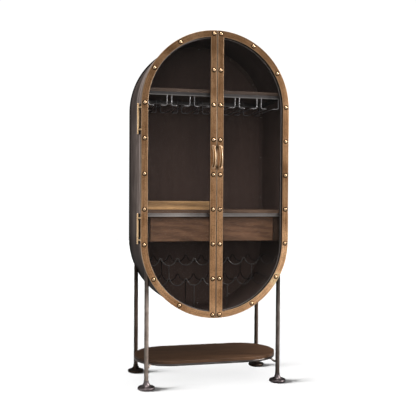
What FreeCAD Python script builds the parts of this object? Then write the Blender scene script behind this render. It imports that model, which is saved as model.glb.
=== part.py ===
import FreeCAD, Part
import math
import os

V = FreeCAD.Vector

# Outline of the cabinet: a stadium, seen from the front
DOOR_RADIUS = 457.0
DOOR_STRAIGHT = 816.0
FLOOR_GAP = 424.0

# Barrel shell behind the doors
SHELL_INSET = 2.0
SHELL_WALL = 3.0
BODY_DEPTH = 473.0
RING_THICKNESS = 3.0
RING_REVEAL = 7.0
REAR_RING_WIDTH = 25.0
BACK_PANEL = 8.0
BACK_PANEL_FIT = 0.5
WELD_GAP = 0.2

# Doors
FACE_THICKNESS = 4.0
CORE_THICKNESS = 24.0
DOOR_BORDER = 38.0
CORE_BORDER = 30.0
MEETING_GAP = 4.0
DOOR_GAP = 2.0
GLASS_THICKNESS = 4.0
GLASS_FIT = 1.0
BEAD_DEPTH = 12.0
BEAD_FIT = 0.3
BEAD_SETBACK = 1.5
FACE_EDGE_ROUND = 1.2

# Dome rivets along the door borders
RIVET_RADIUS = 10.3
RIVET_HEIGHT = 7.5
RIVET_SHANK = 3.0
RIVET_SHANK_LENGTH = 18.0
RIVET_FIT = 0.1
RIVET_RUNOUT = 20.8
STILE_RIVETS = 5
MEETING_RIVETS = 7
ARC_RIVET_ANGLES = (29.5, 58.9)

# Bow handles on the meeting stiles
HANDLE_LENGTH = 147.0
HANDLE_REACH = 34.0
HANDLE_WIDTH = 20.0
HANDLE_THICKNESS = 8.0
HANDLE_PAD_RADIUS = 13.0
HANDLE_PAD = 4.0
HANDLE_STUD = 3.0
HANDLE_STUD_LENGTH = 20.0

# Hinges: pin, fixed leaf on the shell, two knuckles on the door
HINGE_SPREAD = 652.0
HINGE_OUTBOARD = 13.7
HINGE_SETBACK = 20.0
HINGE_PIN_RADIUS = 4.0
HINGE_PIN_FIT = 0.05
KNUCKLE_RADIUS = 5.5
FIXED_KNUCKLE = 100.0
DOOR_KNUCKLE = 29.5
KNUCKLE_GAP = 0.4
FINIAL_RADIUS = 6.0
FINIAL_NECK = 1.5
HINGE_ARM = 8.0
LEAF_THICKNESS = 3.0
LEAF_EDGE = 2.0
DOOR_LEAF_HEIGHT = 28.0
LEAF_FIT = 0.2
FIXED_LEAF_DEPTH = 44.0
FIXED_LEAF_FRONT = 14.0
FIXED_LUG = 8.0

# Screws for the hinge leaves and the back panel
SCREW_RADIUS = 2.2
SCREW_HEAD_RADIUS = 4.5
SCREW_HEAD = 2.5
SCREW_GRIP = 4.0
SCREW_FIT = 0.1
HINGE_SCREW_SPACING = 60.0
SCREWS_PER_SIDE = 4
SCREWS_PER_ARC = 5

# Magnetic catches behind the meeting stiles
MAGNET_RADIUS = 7.0
MAGNET_TAIL = 10.0
MAGNET_GAP = 0.5
MAGNET_FIT = 0.1

# Shelves inside the barrel
SHELF_BOARD = 20.0
SHELF_LIP = 21.0
SHELF_RAIL = 3.0
SHELF_RAIL_LEG = 20.0
SHELF_SETBACK = 20.0
SHELF_FIT = 0.5
UPPER_SHELF_ABOVE_MIDDLE = 514.0
MAIN_SHELF_BELOW_MIDDLE = 213.0
CLEAT_WIDTH = 20.0
CLEAT_HEIGHT = 18.0
SHELF_EDGE_ROUND = 1.5

# Stemware rack under the upper shelf
STEM_CHANNELS = 6
STEM_GAP = 28.0
STEM_SLOT = 41.0
STEM_DROP = 82.0
STEM_WIRE = 3.25
STEM_BEND = 11.0
STEM_REAR_INSET = 60.0
STEM_WALL_GAP = 34.7

# Serving board on the left half of the main shelf
BOARD_THICKNESS = 51.0
BOARD_DEPTH = 300.0
BOARD_WALL_GAP = 24.0
BOARD_CENTRE_GAP = 8.0
BOARD_SETBACK = 22.0
BOARD_EDGE_ROUND = 3.0

# Two drawers hung under the main shelf
DRAWER_SETBACK = 35.0
DRAWER_SIDE_GAP = 22.0
DRAWER_FRONT = 18.0
DRAWER_FRONT_HEIGHT = 150.0
DRAWER_TOP_GAP = 1.0
DRAWER_MEETING_GAP = 4.0
DRAWER_END_GAP = 2.0
DRAWER_FINGER_COVE = 9.0
DRAWER_EDGE_ROUND = 1.5
DRAWER_WALL = 12.0
DRAWER_BOX_HEIGHT = 110.0
DRAWER_BOX_LIFT = 20.0
DRAWER_BOTTOM = 6.0
DRAWER_BOTTOM_LIFT = 10.0
DRAWER_GROOVE = 5.0
DRAWER_GROOVE_FIT = 0.2
DRAWER_REAR_GAP = 40.0
CASE_PANEL = 12.0
CASE_FRONT_GAP = 1.0
CASE_STILE = 40.0
CHANNEL_THICKNESS = 10.0
CHANNEL_WALL = 3.0
CHANNEL_HEIGHT = 32.0
CHANNEL_LIP = 4.0
CHANNEL_FRONT_GAP = 2.0
RUNNER_SIDE_GAP = 2.0
RUNNER_FIT = 0.4

# Scalloped wine rack in the lower bowl
WINE_PITCH = 106.0
WINE_DEPTH = 42.0
WINE_PEAK_RADIUS = 8.0
WINE_WIRE = 3.0
WINE_UPPER_BELOW_MIDDLE = 556.0
WINE_TIER_DROP = 124.0
WINE_SETBACK = 80.0
WINE_REAR_INSET = 112.0
WINE_END_MARGIN = 10.0
UPPER_STRUT_PITCHES = 2.5
LOWER_STRUT_PITCHES = 1.0

# Legs and trumpet feet
LEG_RADIUS = 13.0
LEG_INSET = 40.7
FRONT_LEG_SETBACK = 22.0
REAR_LEG_INSET = 17.0
FOOT_RADIUS = 52.0
FOOT_DISC = 18.0
FOOT_DISC_ROUND = 8.0
FOOT_FLARE_RADIUS = 42.0
FOOT_HEIGHT = 56.0
FOOT_SOCKET_WALL = 1.5
FOOT_SOCKET_FLOOR = 20.0
FOOT_SOCKET_FIT = 0.1
FOOT_PAD = 2.0
FOOT_PAD_RADIUS = 40.0

# Lower shelf between the legs
LOWER_SHELF_TOP = 164.0
LOWER_SHELF_BOARD = 17.0
LOWER_SHELF_OVERHANG = 5.0
LOWER_RING_HEIGHT = 15.0
LOWER_RING_WIDTH = 12.0
LOWER_SHELF_EDGE_ROUND = 2.0
BRACKET_RADIUS = 6.0
BRACKET_DIP = 12.0
BRACKET_BEND = 10.0
BRACKET_SHOULDER = 14.0

# Places that follow from the sizes above
REAR_REACH = (FACE_THICKNESS + CORE_THICKNESS + DOOR_GAP + BODY_DEPTH
              - REAR_LEG_INSET + FOOT_RADIUS)
FACE_Y = (HANDLE_REACH - REAR_REACH) / 2
CORE_Y = FACE_Y + FACE_THICKNESS
DOOR_BACK_Y = CORE_Y + CORE_THICKNESS
RING_Y = DOOR_BACK_Y + DOOR_GAP
SHELL_FRONT_Y = RING_Y + RING_THICKNESS
BACK_Y = RING_Y + BODY_DEPTH
PANEL_Y = BACK_Y - BACK_PANEL
REAR_RING_Y = PANEL_Y - RING_THICKNESS
SHELL_RADIUS = DOOR_RADIUS - SHELL_INSET
SHELL_INNER = SHELL_RADIUS - SHELL_WALL
RING_INNER = DOOR_RADIUS - DOOR_BORDER - RING_REVEAL
HALF_STRAIGHT = DOOR_STRAIGHT / 2
MIDDLE_Z = FLOOR_GAP + DOOR_RADIUS + HALF_STRAIGHT
SPRING_TOP_Z = MIDDLE_Z + HALF_STRAIGHT
SPRING_BOTTOM_Z = MIDDLE_Z - HALF_STRAIGHT
RIVET_PITCH = (DOOR_STRAIGHT + RIVET_RUNOUT) / (STILE_RIVETS - 1)
STILE_X = (MEETING_GAP + DOOR_BORDER) / 2
HINGE_X = DOOR_RADIUS + HINGE_OUTBOARD
HINGE_Y = RING_Y + HINGE_SETBACK
HINGE_HEIGHTS = (MIDDLE_Z - HINGE_SPREAD / 2, MIDDLE_Z + HINGE_SPREAD / 2)
SHELF_FRONT_Y = RING_Y + SHELF_SETBACK
SHELF_BACK_Y = REAR_RING_Y - SHELF_FIT
UPPER_BOARD_Z = MIDDLE_Z + UPPER_SHELF_ABOVE_MIDDLE - SHELF_BOARD
MAIN_BOARD_Z = MIDDLE_Z - MAIN_SHELF_BELOW_MIDDLE - SHELF_BOARD
DRAWER_TOP_Z = MAIN_BOARD_Z - SHELF_LIP - DRAWER_TOP_GAP
DRAWER_BASE_Z = DRAWER_TOP_Z - DRAWER_FRONT_HEIGHT
DRAWER_Y = SHELF_FRONT_Y + DRAWER_SETBACK
DRAWER_BOX_Y = DRAWER_Y + DRAWER_FRONT
DRAWER_REAR_Y = REAR_RING_Y - DRAWER_REAR_GAP
CASE_X = RING_INNER - DRAWER_SIDE_GAP
CHANNEL_Z = DRAWER_BASE_Z + DRAWER_BOX_LIFT + DRAWER_BOX_HEIGHT / 2
WINE_FRONT_Y = SHELF_FRONT_Y + WINE_SETBACK
WINE_REAR_Y = REAR_RING_Y - WINE_REAR_INSET
WINE_UPPER_Z = MIDDLE_Z - WINE_UPPER_BELOW_MIDDLE
WINE_LOWER_Z = WINE_UPPER_Z - WINE_TIER_DROP
LEG_X = SHELL_RADIUS - LEG_INSET
LEG_FRONT_Y = RING_Y + FRONT_LEG_SETBACK
LEG_REAR_Y = BACK_Y - REAR_LEG_INSET
LOWER_SHELF_Y = (LEG_FRONT_Y + LEG_REAR_Y) / 2
LOWER_SHELF_RADIUS = (LEG_REAR_Y - LEG_FRONT_Y) / 2 + LOWER_SHELF_OVERHANG
LOWER_BOARD_Z = LOWER_SHELF_TOP - LOWER_SHELF_BOARD
LOWER_RING_Z = LOWER_BOARD_Z - LOWER_RING_HEIGHT
SIDES = {"left": -1, "right": 1}


# Shared shapes

def box(x0, x1, y0, y1, z0, z1):
    """A block between two opposite corners, given in either order along X."""
    low, high = min(x0, x1), max(x0, x1)
    return Part.makeBox(high - low, y1 - y0, z1 - z0, V(low, y0, z0))


def line(a, b):
    return Part.LineSegment(a, b).toShape()


def arc(a, b, c):
    return Part.Arc(a, b, c).toShape()


def rod_y(x, z, radius, y0, y1):
    return Part.makeCylinder(radius, y1 - y0, V(x, y0, z), V(0, 1, 0))


def rod_z(x, y, radius, z0, z1):
    return Part.makeCylinder(radius, z1 - z0, V(x, y, z0))


def stadium(radius, y0, y1):
    """The cabinet's front outline, drawn at a radius and carried back from y0 to y1."""
    top, bottom, r = SPRING_TOP_Z, SPRING_BOTTOM_Z, radius
    edges = [
        arc(V(r, y0, top), V(0, y0, top + r), V(-r, y0, top)),
        line(V(-r, y0, top), V(-r, y0, bottom)),
        arc(V(-r, y0, bottom), V(0, y0, bottom - r), V(r, y0, bottom)),
        line(V(r, y0, bottom), V(r, y0, top)),
    ]
    return Part.Face(Part.Wire(edges)).extrude(V(0, y1 - y0, 0))


def half_stadium(side, inset, y0, y1):
    """One door's outline, drawn in by an inset on all its sides."""
    r = DOOR_RADIUS - inset
    x = MEETING_GAP / 2 + inset
    sweep = math.acos(x / r)

    def on_arc(angle, up):
        spring = SPRING_TOP_Z if up > 0 else SPRING_BOTTOM_Z
        return V(side * r * math.cos(angle), y0, spring + up * r * math.sin(angle))

    edges = [
        arc(on_arc(0, 1), on_arc(sweep / 2, 1), on_arc(sweep, 1)),
        line(on_arc(sweep, 1), on_arc(sweep, -1)),
        arc(on_arc(sweep, -1), on_arc(sweep / 2, -1), on_arc(0, -1)),
        line(on_arc(0, -1), on_arc(0, 1)),
    ]
    return Part.Face(Part.Wire(edges)).extrude(V(0, y1 - y0, 0))


def half_width(z, radius):
    """Half the stadium's width at a height, for a given radius."""
    beyond = max(abs(z - MIDDLE_Z) - HALF_STRAIGHT, 0)
    return math.sqrt(radius ** 2 - beyond ** 2)


def flat_stadium(inset, z0, z1):
    """The lower shelf's plan, drawn in by an inset and carried up from z0 to z1."""
    r = LOWER_SHELF_RADIUS - inset
    x = SHELL_RADIUS - LOWER_SHELF_RADIUS
    y = LOWER_SHELF_Y
    edges = [
        line(V(-x, y - r, z0), V(x, y - r, z0)),
        arc(V(x, y - r, z0), V(x + r, y, z0), V(x, y + r, z0)),
        line(V(x, y + r, z0), V(-x, y + r, z0)),
        arc(V(-x, y + r, z0), V(-x - r, y, z0), V(-x, y - r, z0)),
    ]
    return Part.Face(Part.Wire(edges)).extrude(V(0, 0, z1 - z0))


def bent_rod(points, bend, radius):
    """A round rod through straight runs, joined by tangent bends of one radius."""
    edges = []
    start = points[0]
    for before, corner, after in zip(points, points[1:], points[2:]):
        back = (before - corner).normalize()
        on = (after - corner).normalize()
        half = back.getAngle(on) / 2
        reach = bend / math.tan(half)
        inward = (back + on).normalize() * (bend / math.sin(half) - bend)
        edges.append(line(start, corner + back * reach))
        edges.append(arc(corner + back * reach, corner + inward, corner + on * reach))
        start = corner + on * reach
    edges.append(line(start, points[-1]))
    return pipe(edges, radius)


def pipe(edges, radius):
    """A round bar swept along a smooth chain of edges."""
    path = Part.Wire(edges)
    start = path.Edges[0]
    tangent = start.tangentAt(start.FirstParameter)
    ring = Part.Wire([Part.Circle(start.valueAt(start.FirstParameter), tangent, radius).toShape()])
    return path.makePipeShell([ring], True, False)


def rounded(solid, radius, chosen):
    """The solid with the edges whose bounds are chosen rounded off."""
    edges = [edge for edge in solid.Edges if chosen(edge.BoundBox)]
    return solid.makeFillet(radius, edges)


def at_front(y):
    return lambda bounds: abs(bounds.YMin - y) < WELD_GAP and abs(bounds.YMax - y) < WELD_GAP


def join(first, *others):
    solid = first
    for other in others:
        solid = solid.fuse(other)
    return solid.removeSplitter()


def save(name, *shapes):
    shape = shapes[0] if len(shapes) == 1 else Part.makeCompound(list(shapes))
    shape.exportStep(f"parts/{name}.step")


# Barrel shell

def shell_quarter(side, up):
    """A rolled quarter of the barrel, from its spring line to the middle of its top or bottom."""
    z = SPRING_TOP_Z if up > 0 else SPRING_BOTTOM_Z
    y = SHELL_FRONT_Y
    lean = math.sqrt(0.5)

    def on_roll(radius, across, along):
        return V(side * radius * across, y, z + up * radius * along)

    a, b = SHELL_RADIUS, SHELL_INNER
    edges = [
        arc(on_roll(a, 1, 0), on_roll(a, lean, lean), on_roll(a, 0, 1)),
        line(on_roll(a, 0, 1), on_roll(b, 0, 1)),
        arc(on_roll(b, 0, 1), on_roll(b, lean, lean), on_roll(b, 1, 0)),
        line(on_roll(b, 1, 0), on_roll(a, 1, 0)),
    ]
    return Part.Face(Part.Wire(edges)).extrude(V(0, BACK_Y - y, 0))


def shell_side(side):
    """One flat side of the barrel, drilled for the hinge screws."""
    sheet = box(side * SHELL_INNER, side * SHELL_RADIUS, SHELL_FRONT_Y, BACK_Y,
                SPRING_BOTTOM_Z, SPRING_TOP_Z)
    return sheet.cut(Part.makeCompound(hinge_screw_holes(side)))


def front_ring(z0, z1):
    """The solids between two heights of the flat ring that the doors close against."""
    ring = stadium(SHELL_RADIUS, RING_Y, SHELL_FRONT_Y).cut(stadium(RING_INNER, RING_Y, SHELL_FRONT_Y))
    holes = [rod_y(x, z, MAGNET_RADIUS + MAGNET_FIT, RING_Y, SHELL_FRONT_Y) for x, z in magnet_places()]
    stretch = box(-DOOR_RADIUS, DOOR_RADIUS, RING_Y, SHELL_FRONT_Y, z0, z1)
    return ring.cut(Part.makeCompound(holes)).common(stretch).Solids


def rear_ring():
    outer = stadium(SHELL_INNER - WELD_GAP, REAR_RING_Y, PANEL_Y)
    ring = outer.cut(stadium(SHELL_INNER - REAR_RING_WIDTH, REAR_RING_Y, PANEL_Y))
    return ring.cut(Part.makeCompound(panel_screw_holes()))


def back_panel():
    panel = stadium(SHELL_INNER - BACK_PANEL_FIT, PANEL_Y, BACK_Y)
    return panel.cut(Part.makeCompound(panel_screw_holes()))


def panel_screw_places():
    """Screws evenly spaced on the rear ring's middle line."""
    r = SHELL_INNER - REAR_RING_WIDTH / 2
    places = []
    for side in SIDES.values():
        for i in range(SCREWS_PER_SIDE):
            places.append((side * r, SPRING_BOTTOM_Z + DOOR_STRAIGHT * i / (SCREWS_PER_SIDE - 1)))
    for spring, up in ((SPRING_TOP_Z, 1), (SPRING_BOTTOM_Z, -1)):
        for i in range(SCREWS_PER_ARC):
            angle = math.pi * (i + 1) / (SCREWS_PER_ARC + 1)
            places.append((r * math.cos(angle), spring + up * r * math.sin(angle)))
    return places


def panel_screw_holes():
    return [rod_y(x, z, SCREW_RADIUS + SCREW_FIT, REAR_RING_Y, BACK_Y) for x, z in panel_screw_places()]


def screw(length):
    """A pan-head screw along +X, with the underside of its head at the origin."""
    shank = Part.makeCylinder(SCREW_RADIUS, length, V(0, 0, 0), V(1, 0, 0))
    head = Part.makeCylinder(SCREW_HEAD_RADIUS, SCREW_HEAD, V(-SCREW_HEAD, 0, 0), V(1, 0, 0))
    rim = lambda bounds: abs(bounds.XMin + SCREW_HEAD) < WELD_GAP and abs(bounds.XMax + SCREW_HEAD) < WELD_GAP
    return join(rounded(head, SCREW_HEAD / 2, rim), shank)


def back_panel_screws():
    """Screws driven in from behind, through the panel and the rear ring."""
    model = screw(BACK_PANEL + RING_THICKNESS + SCREW_GRIP)
    model.rotate(V(0, 0, 0), V(0, 0, 1), -90)
    return [model.translated(V(x, BACK_Y, z)) for x, z in panel_screw_places()]


# Shelves

def shelf(board_z):
    board = box(-SHELL_RADIUS, SHELL_RADIUS, SHELF_FRONT_Y, SHELF_BACK_Y, board_z, board_z + SHELF_BOARD)
    board = board.common(stadium(SHELL_INNER - SHELF_FIT, SHELF_FRONT_Y, SHELF_BACK_Y))
    return rounded(board, SHELF_EDGE_ROUND, at_front(SHELF_FRONT_Y))


def shelf_rails(board_z):
    """Angle irons under the front and rear edges of a shelf board."""
    rails = []
    for y, back in ((SHELF_FRONT_Y, 1), (SHELF_BACK_Y, -1)):
        steps = ((0, 0), (SHELF_RAIL_LEG, 0), (SHELF_RAIL_LEG, -SHELF_RAIL),
                 (SHELF_RAIL, -SHELF_RAIL), (SHELF_RAIL, -SHELF_LIP), (0, -SHELF_LIP), (0, 0))
        corners = [V(-SHELL_RADIUS, y + back * dy, board_z + dz) for dy, dz in steps]
        bar = Part.Face(Part.makePolygon(corners)).extrude(V(2 * SHELL_RADIUS, 0, 0))
        rails.append(bar.common(stadium(SHELL_INNER - WELD_GAP, SHELF_FRONT_Y, SHELF_BACK_Y)))
    return rails


def shelf_cleats(board_z):
    """Bars on the barrel's walls that carry the ends of a shelf board."""
    y0 = SHELF_FRONT_Y + SHELF_RAIL_LEG
    y1 = SHELF_BACK_Y - SHELF_RAIL_LEG
    wall = half_width(board_z, SHELL_INNER)
    inside = stadium(SHELL_INNER - WELD_GAP, y0, y1)
    return [box(side * (wall - CLEAT_WIDTH), side * SHELL_RADIUS, y0, y1,
                board_z - CLEAT_HEIGHT, board_z).common(inside) for side in SIDES.values()]


def stem_pitch():
    """The channels share the width between the barrel's walls, with a gap between neighbours."""
    room = 2 * (half_width(UPPER_BOARD_Z, SHELL_INNER) - STEM_WALL_GAP)
    return (room + STEM_GAP) / STEM_CHANNELS


def stemware_rack(channel):
    """Two bent wires of one channel, whose straight runs leave a slot between them from front to rear."""
    middle = (channel - (STEM_CHANNELS - 1) / 2) * stem_pitch()
    front = SHELF_FRONT_Y + SHELF_RAIL + STEM_WIRE + SHELF_FIT
    rear = SHELF_BACK_Y - STEM_REAR_INSET
    rail_z = UPPER_BOARD_Z - STEM_DROP
    wires = []
    for side in SIDES.values():
        post = middle + side * (stem_pitch() - STEM_GAP) / 2
        rail = middle + side * STEM_SLOT / 2
        route = [
            V(post, front, UPPER_BOARD_Z - SHELF_RAIL), V(post, front, rail_z), V(rail, front, rail_z),
            V(rail, rear, rail_z), V(post, rear, rail_z), V(post, rear, UPPER_BOARD_Z),
        ]
        wires.append(bent_rod(route, STEM_BEND, STEM_WIRE))
    return wires


def serving_board():
    board = box(-SHELL_INNER + BOARD_WALL_GAP, -BOARD_CENTRE_GAP, SHELF_FRONT_Y + BOARD_SETBACK,
                SHELF_FRONT_Y + BOARD_SETBACK + BOARD_DEPTH,
                MAIN_BOARD_Z + SHELF_BOARD, MAIN_BOARD_Z + SHELF_BOARD + BOARD_THICKNESS)
    return board.makeFillet(BOARD_EDGE_ROUND, board.Edges)


# Drawers and the case that carries them

def case_panel(x0, x1):
    return box(x0, x1, DRAWER_BOX_Y + CASE_FRONT_GAP, DRAWER_REAR_Y, DRAWER_BASE_Z, MAIN_BOARD_Z)


def case_stile(side):
    """A stile beside a case panel, which fills the space from a drawer front's end to the barrel's wall."""
    y0, y1 = DRAWER_Y, DRAWER_Y + CASE_STILE
    block = box(side * (CASE_X + WELD_GAP), side * SHELL_RADIUS, y0, y1, DRAWER_BASE_Z, DRAWER_TOP_Z)
    return block.common(stadium(SHELL_INNER - WELD_GAP, y0, y1))


def channel_walls():
    """The panel faces that carry the drawer channels: their X, and which way each one looks."""
    outer, inner = CASE_X - CASE_PANEL, CASE_PANEL / 2
    return [(-outer, 1), (-inner, -1), (inner, 1), (outer, -1)]


def drawer_channel(x, way):
    """A C-shaped channel on a panel face, open towards the drawer."""
    y0 = DRAWER_BOX_Y + CASE_FRONT_GAP + CHANNEL_FRONT_GAP
    z0, z1 = CHANNEL_Z - CHANNEL_HEIGHT / 2, CHANNEL_Z + CHANNEL_HEIGHT / 2
    outside = box(x, x + way * CHANNEL_THICKNESS, y0, DRAWER_REAR_Y, z0, z1)
    slot = box(x + way * CHANNEL_WALL, x + way * CHANNEL_THICKNESS, y0, DRAWER_REAR_Y,
               z0 + CHANNEL_LIP, z1 - CHANNEL_LIP)
    return outside.cut(slot)


def drawer_runner(x, way):
    """The bar on a drawer's side that slides in a channel."""
    half = CHANNEL_HEIGHT / 2 - CHANNEL_LIP - RUNNER_FIT
    return box(x + way * (CHANNEL_WALL + RUNNER_FIT), x + way * (CHANNEL_THICKNESS + RUNNER_SIDE_GAP),
               DRAWER_BOX_Y + CASE_FRONT_GAP + CHANNEL_FRONT_GAP, DRAWER_REAR_Y - CHANNEL_FRONT_GAP,
               CHANNEL_Z - half, CHANNEL_Z + half)


def drawer_front(side):
    """A plain front with a finger cove along the back of its lower edge."""
    x0, x1 = side * DRAWER_MEETING_GAP / 2, side * (CASE_X - DRAWER_END_GAP)
    panel = box(x0, x1, DRAWER_Y, DRAWER_BOX_Y, DRAWER_BASE_Z, DRAWER_TOP_Z)
    panel = rounded(panel, DRAWER_EDGE_ROUND, at_front(DRAWER_Y))
    cove = Part.makeCylinder(DRAWER_FINGER_COVE, CASE_X, V(min(x0, x1), DRAWER_BOX_Y, DRAWER_BASE_Z), V(1, 0, 0))
    return panel.cut(cove)


def drawer_box(side):
    """Four joined walls and a bottom panel let into a groove round their inside."""
    gap = CASE_PANEL + CHANNEL_THICKNESS + RUNNER_SIDE_GAP
    x0, x1 = side * (gap - CASE_PANEL / 2), side * (CASE_X - gap)
    low, high = min(x0, x1), max(x0, x1)
    y0, y1 = DRAWER_BOX_Y, DRAWER_REAR_Y - CHANNEL_FRONT_GAP
    z0 = DRAWER_BASE_Z + DRAWER_BOX_LIFT
    z1 = z0 + DRAWER_BOX_HEIGHT
    t = DRAWER_WALL
    walls = box(low, high, y0, y1, z0, z1).cut(box(low + t, high - t, y0 + t, y1 - t, z0, z1))

    def panel(fit):
        reach = t - DRAWER_GROOVE - fit
        bottom = z0 + DRAWER_BOTTOM_LIFT
        return box(low + reach, high - reach, y0 + reach, y1 - reach, bottom - fit, bottom + DRAWER_BOTTOM + fit)

    return [walls.cut(panel(DRAWER_GROOVE_FIT)), panel(0)]


# Wine rack

def wine_cells(trough_z, odd):
    """How many scallops of one tier fit between the barrel's walls."""
    reach = half_width(trough_z + WINE_DEPTH, SHELL_INNER) - WINE_END_MARGIN
    if odd:
        return 2 * int((reach - WINE_PITCH / 2) // WINE_PITCH) + 1
    return 2 * int(reach // WINE_PITCH)


def scalloped_wire(cells, trough_z, y):
    """A wire of round hollows that meet in tight peaks, with its ends run out to the walls."""
    half = WINE_PITCH / 2
    slope = 2 * math.atan(WINE_DEPTH / half)
    hollow = half / math.sin(slope) - WINE_PEAK_RADIUS
    peak_z = trough_z + WINE_DEPTH
    end = cells * half
    wall = half_width(peak_z, SHELL_INNER)

    def on_peak(x, angle):
        drop = WINE_PEAK_RADIUS * (1 - math.cos(angle))
        return V(x + WINE_PEAK_RADIUS * math.sin(angle), y, peak_z - drop)

    def on_hollow(x, angle):
        return V(x + hollow * math.sin(angle), y, trough_z + hollow * (1 - math.cos(angle)))

    edges = [line(V(-wall, y, peak_z), V(-end, y, peak_z))]
    for i in range(cells):
        left = i * WINE_PITCH - end
        middle, right = left + half, left + WINE_PITCH
        edges.append(arc(on_peak(left, 0), on_peak(left, slope / 2), on_peak(left, slope)))
        edges.append(arc(on_hollow(middle, -slope), on_hollow(middle, 0), on_hollow(middle, slope)))
        edges.append(arc(on_peak(right, -slope), on_peak(right, -slope / 2), on_peak(right, 0)))
    edges.append(line(V(end, y, peak_z), V(wall, y, peak_z)))
    inside = stadium(SHELL_INNER - WELD_GAP, y - WINE_PITCH, y + WINE_PITCH)
    return pipe(edges, WINE_WIRE).common(inside)


def lower_tier(y):
    """The lower scalloped wire, with struts up to the tier above and down to the barrel's floor."""
    wire = scalloped_wire(wine_cells(WINE_LOWER_Z, True), WINE_LOWER_Z, y)
    inside = stadium(SHELL_INNER - WELD_GAP, y - WINE_PITCH, y + WINE_PITCH)
    struts = []
    for side in SIDES.values():
        upper_x = side * UPPER_STRUT_PITCHES * WINE_PITCH
        lower_x = side * LOWER_STRUT_PITCHES * WINE_PITCH
        struts.append(rod_z(upper_x, y, WINE_WIRE, WINE_LOWER_Z + WINE_DEPTH, WINE_UPPER_Z - WINE_WIRE - WELD_GAP))
        struts.append(rod_z(lower_x, y, WINE_WIRE, SPRING_BOTTOM_Z - SHELL_INNER, WINE_LOWER_Z).common(inside))
    return join(wire, *struts)


def wine_ties():
    """Straight rods that join the front wires to the rear ones at the end peaks."""
    ties = []
    for trough_z, odd in ((WINE_UPPER_Z, False), (WINE_LOWER_Z, True)):
        end = wine_cells(trough_z, odd) * WINE_PITCH / 2
        for side in SIDES.values():
            ties.append(rod_y(side * end, trough_z + WINE_DEPTH, WINE_WIRE,
                              WINE_FRONT_Y + WINE_WIRE + WELD_GAP, WINE_REAR_Y - WINE_WIRE - WELD_GAP))
    return ties


# Legs, feet and the lower shelf

def leg(x, y):
    """A round bar from the foot's socket up to the barrel's underside."""
    bar = rod_z(x, y, LEG_RADIUS, FOOT_SOCKET_FLOOR, SPRING_BOTTOM_Z)
    return bar.cut(stadium(SHELL_RADIUS + WELD_GAP, RING_Y, BACK_Y))


def foot():
    """A turned foot: a round-edged disc that flares up into a socket for the leg."""
    base = FOOT_PAD
    top = base + FOOT_DISC
    neck = LEG_RADIUS + FOOT_SOCKET_FIT + FOOT_SOCKET_WALL
    socket = LEG_RADIUS + FOOT_SOCKET_FIT
    r, e = FOOT_RADIUS, FOOT_DISC_ROUND
    slope = math.sqrt(0.5)
    lean = e * (1 - slope)
    waist = V(FOOT_FLARE_RADIUS - (FOOT_FLARE_RADIUS - neck) * slope, 0, FOOT_HEIGHT - (FOOT_HEIGHT - top) * slope)
    edges = [
        line(V(0, 0, base), V(r - e, 0, base)),
        arc(V(r - e, 0, base), V(r - lean, 0, base + lean), V(r, 0, base + e)),
        line(V(r, 0, base + e), V(r, 0, top - e)),
        arc(V(r, 0, top - e), V(r - lean, 0, top - lean), V(r - e, 0, top)),
        line(V(r - e, 0, top), V(FOOT_FLARE_RADIUS, 0, top)),
        arc(V(FOOT_FLARE_RADIUS, 0, top), waist, V(neck, 0, FOOT_HEIGHT)),
        line(V(neck, 0, FOOT_HEIGHT), V(socket, 0, FOOT_HEIGHT)),
        line(V(socket, 0, FOOT_HEIGHT), V(socket, 0, FOOT_SOCKET_FLOOR)),
        line(V(socket, 0, FOOT_SOCKET_FLOOR), V(0, 0, FOOT_SOCKET_FLOOR)),
        line(V(0, 0, FOOT_SOCKET_FLOOR), V(0, 0, base)),
    ]
    return Part.Face(Part.Wire(edges)).revolve(V(0, 0, 0), V(0, 0, 1), 360)


def lower_shelf():
    board = flat_stadium(0, LOWER_BOARD_Z, LOWER_SHELF_TOP)
    on_top = lambda bounds: bounds.ZMin > LOWER_SHELF_TOP - WELD_GAP
    return rounded(board, LOWER_SHELF_EDGE_ROUND, on_top)


def lower_shelf_ring():
    outer = flat_stadium(0, LOWER_RING_Z, LOWER_BOARD_Z)
    return outer.cut(flat_stadium(LOWER_RING_WIDTH, LOWER_RING_Z, LOWER_BOARD_Z))


def lower_shelf_bracket(x, y):
    """A dipped bar from the shelf's ring out to one leg."""
    end = V(math.copysign(SHELL_RADIUS - LOWER_SHELF_RADIUS, x), LOWER_SHELF_Y, 0)
    out = V(x, y, 0) - end
    span = out.Length
    out = out.normalize()
    high = V(0, 0, LOWER_RING_Z + LOWER_RING_HEIGHT / 2)
    low = high - V(0, 0, BRACKET_DIP)
    shoulder = LOWER_SHELF_RADIUS + BRACKET_SHOULDER
    points = [
        end + out * (LOWER_SHELF_RADIUS - LOWER_RING_WIDTH / 2) + high, end + out * shoulder + high,
        end + out * (span - LEG_RADIUS - BRACKET_SHOULDER) + low, end + out * span + low,
    ]
    bar = bent_rod(points, BRACKET_BEND, BRACKET_RADIUS)
    bar = bar.cut(flat_stadium(-WELD_GAP, LOWER_RING_Z, LOWER_BOARD_Z))
    return bar.cut(rod_z(x, y, LEG_RADIUS + WELD_GAP, 0, LOWER_SHELF_TOP))


# Hinges

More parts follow.
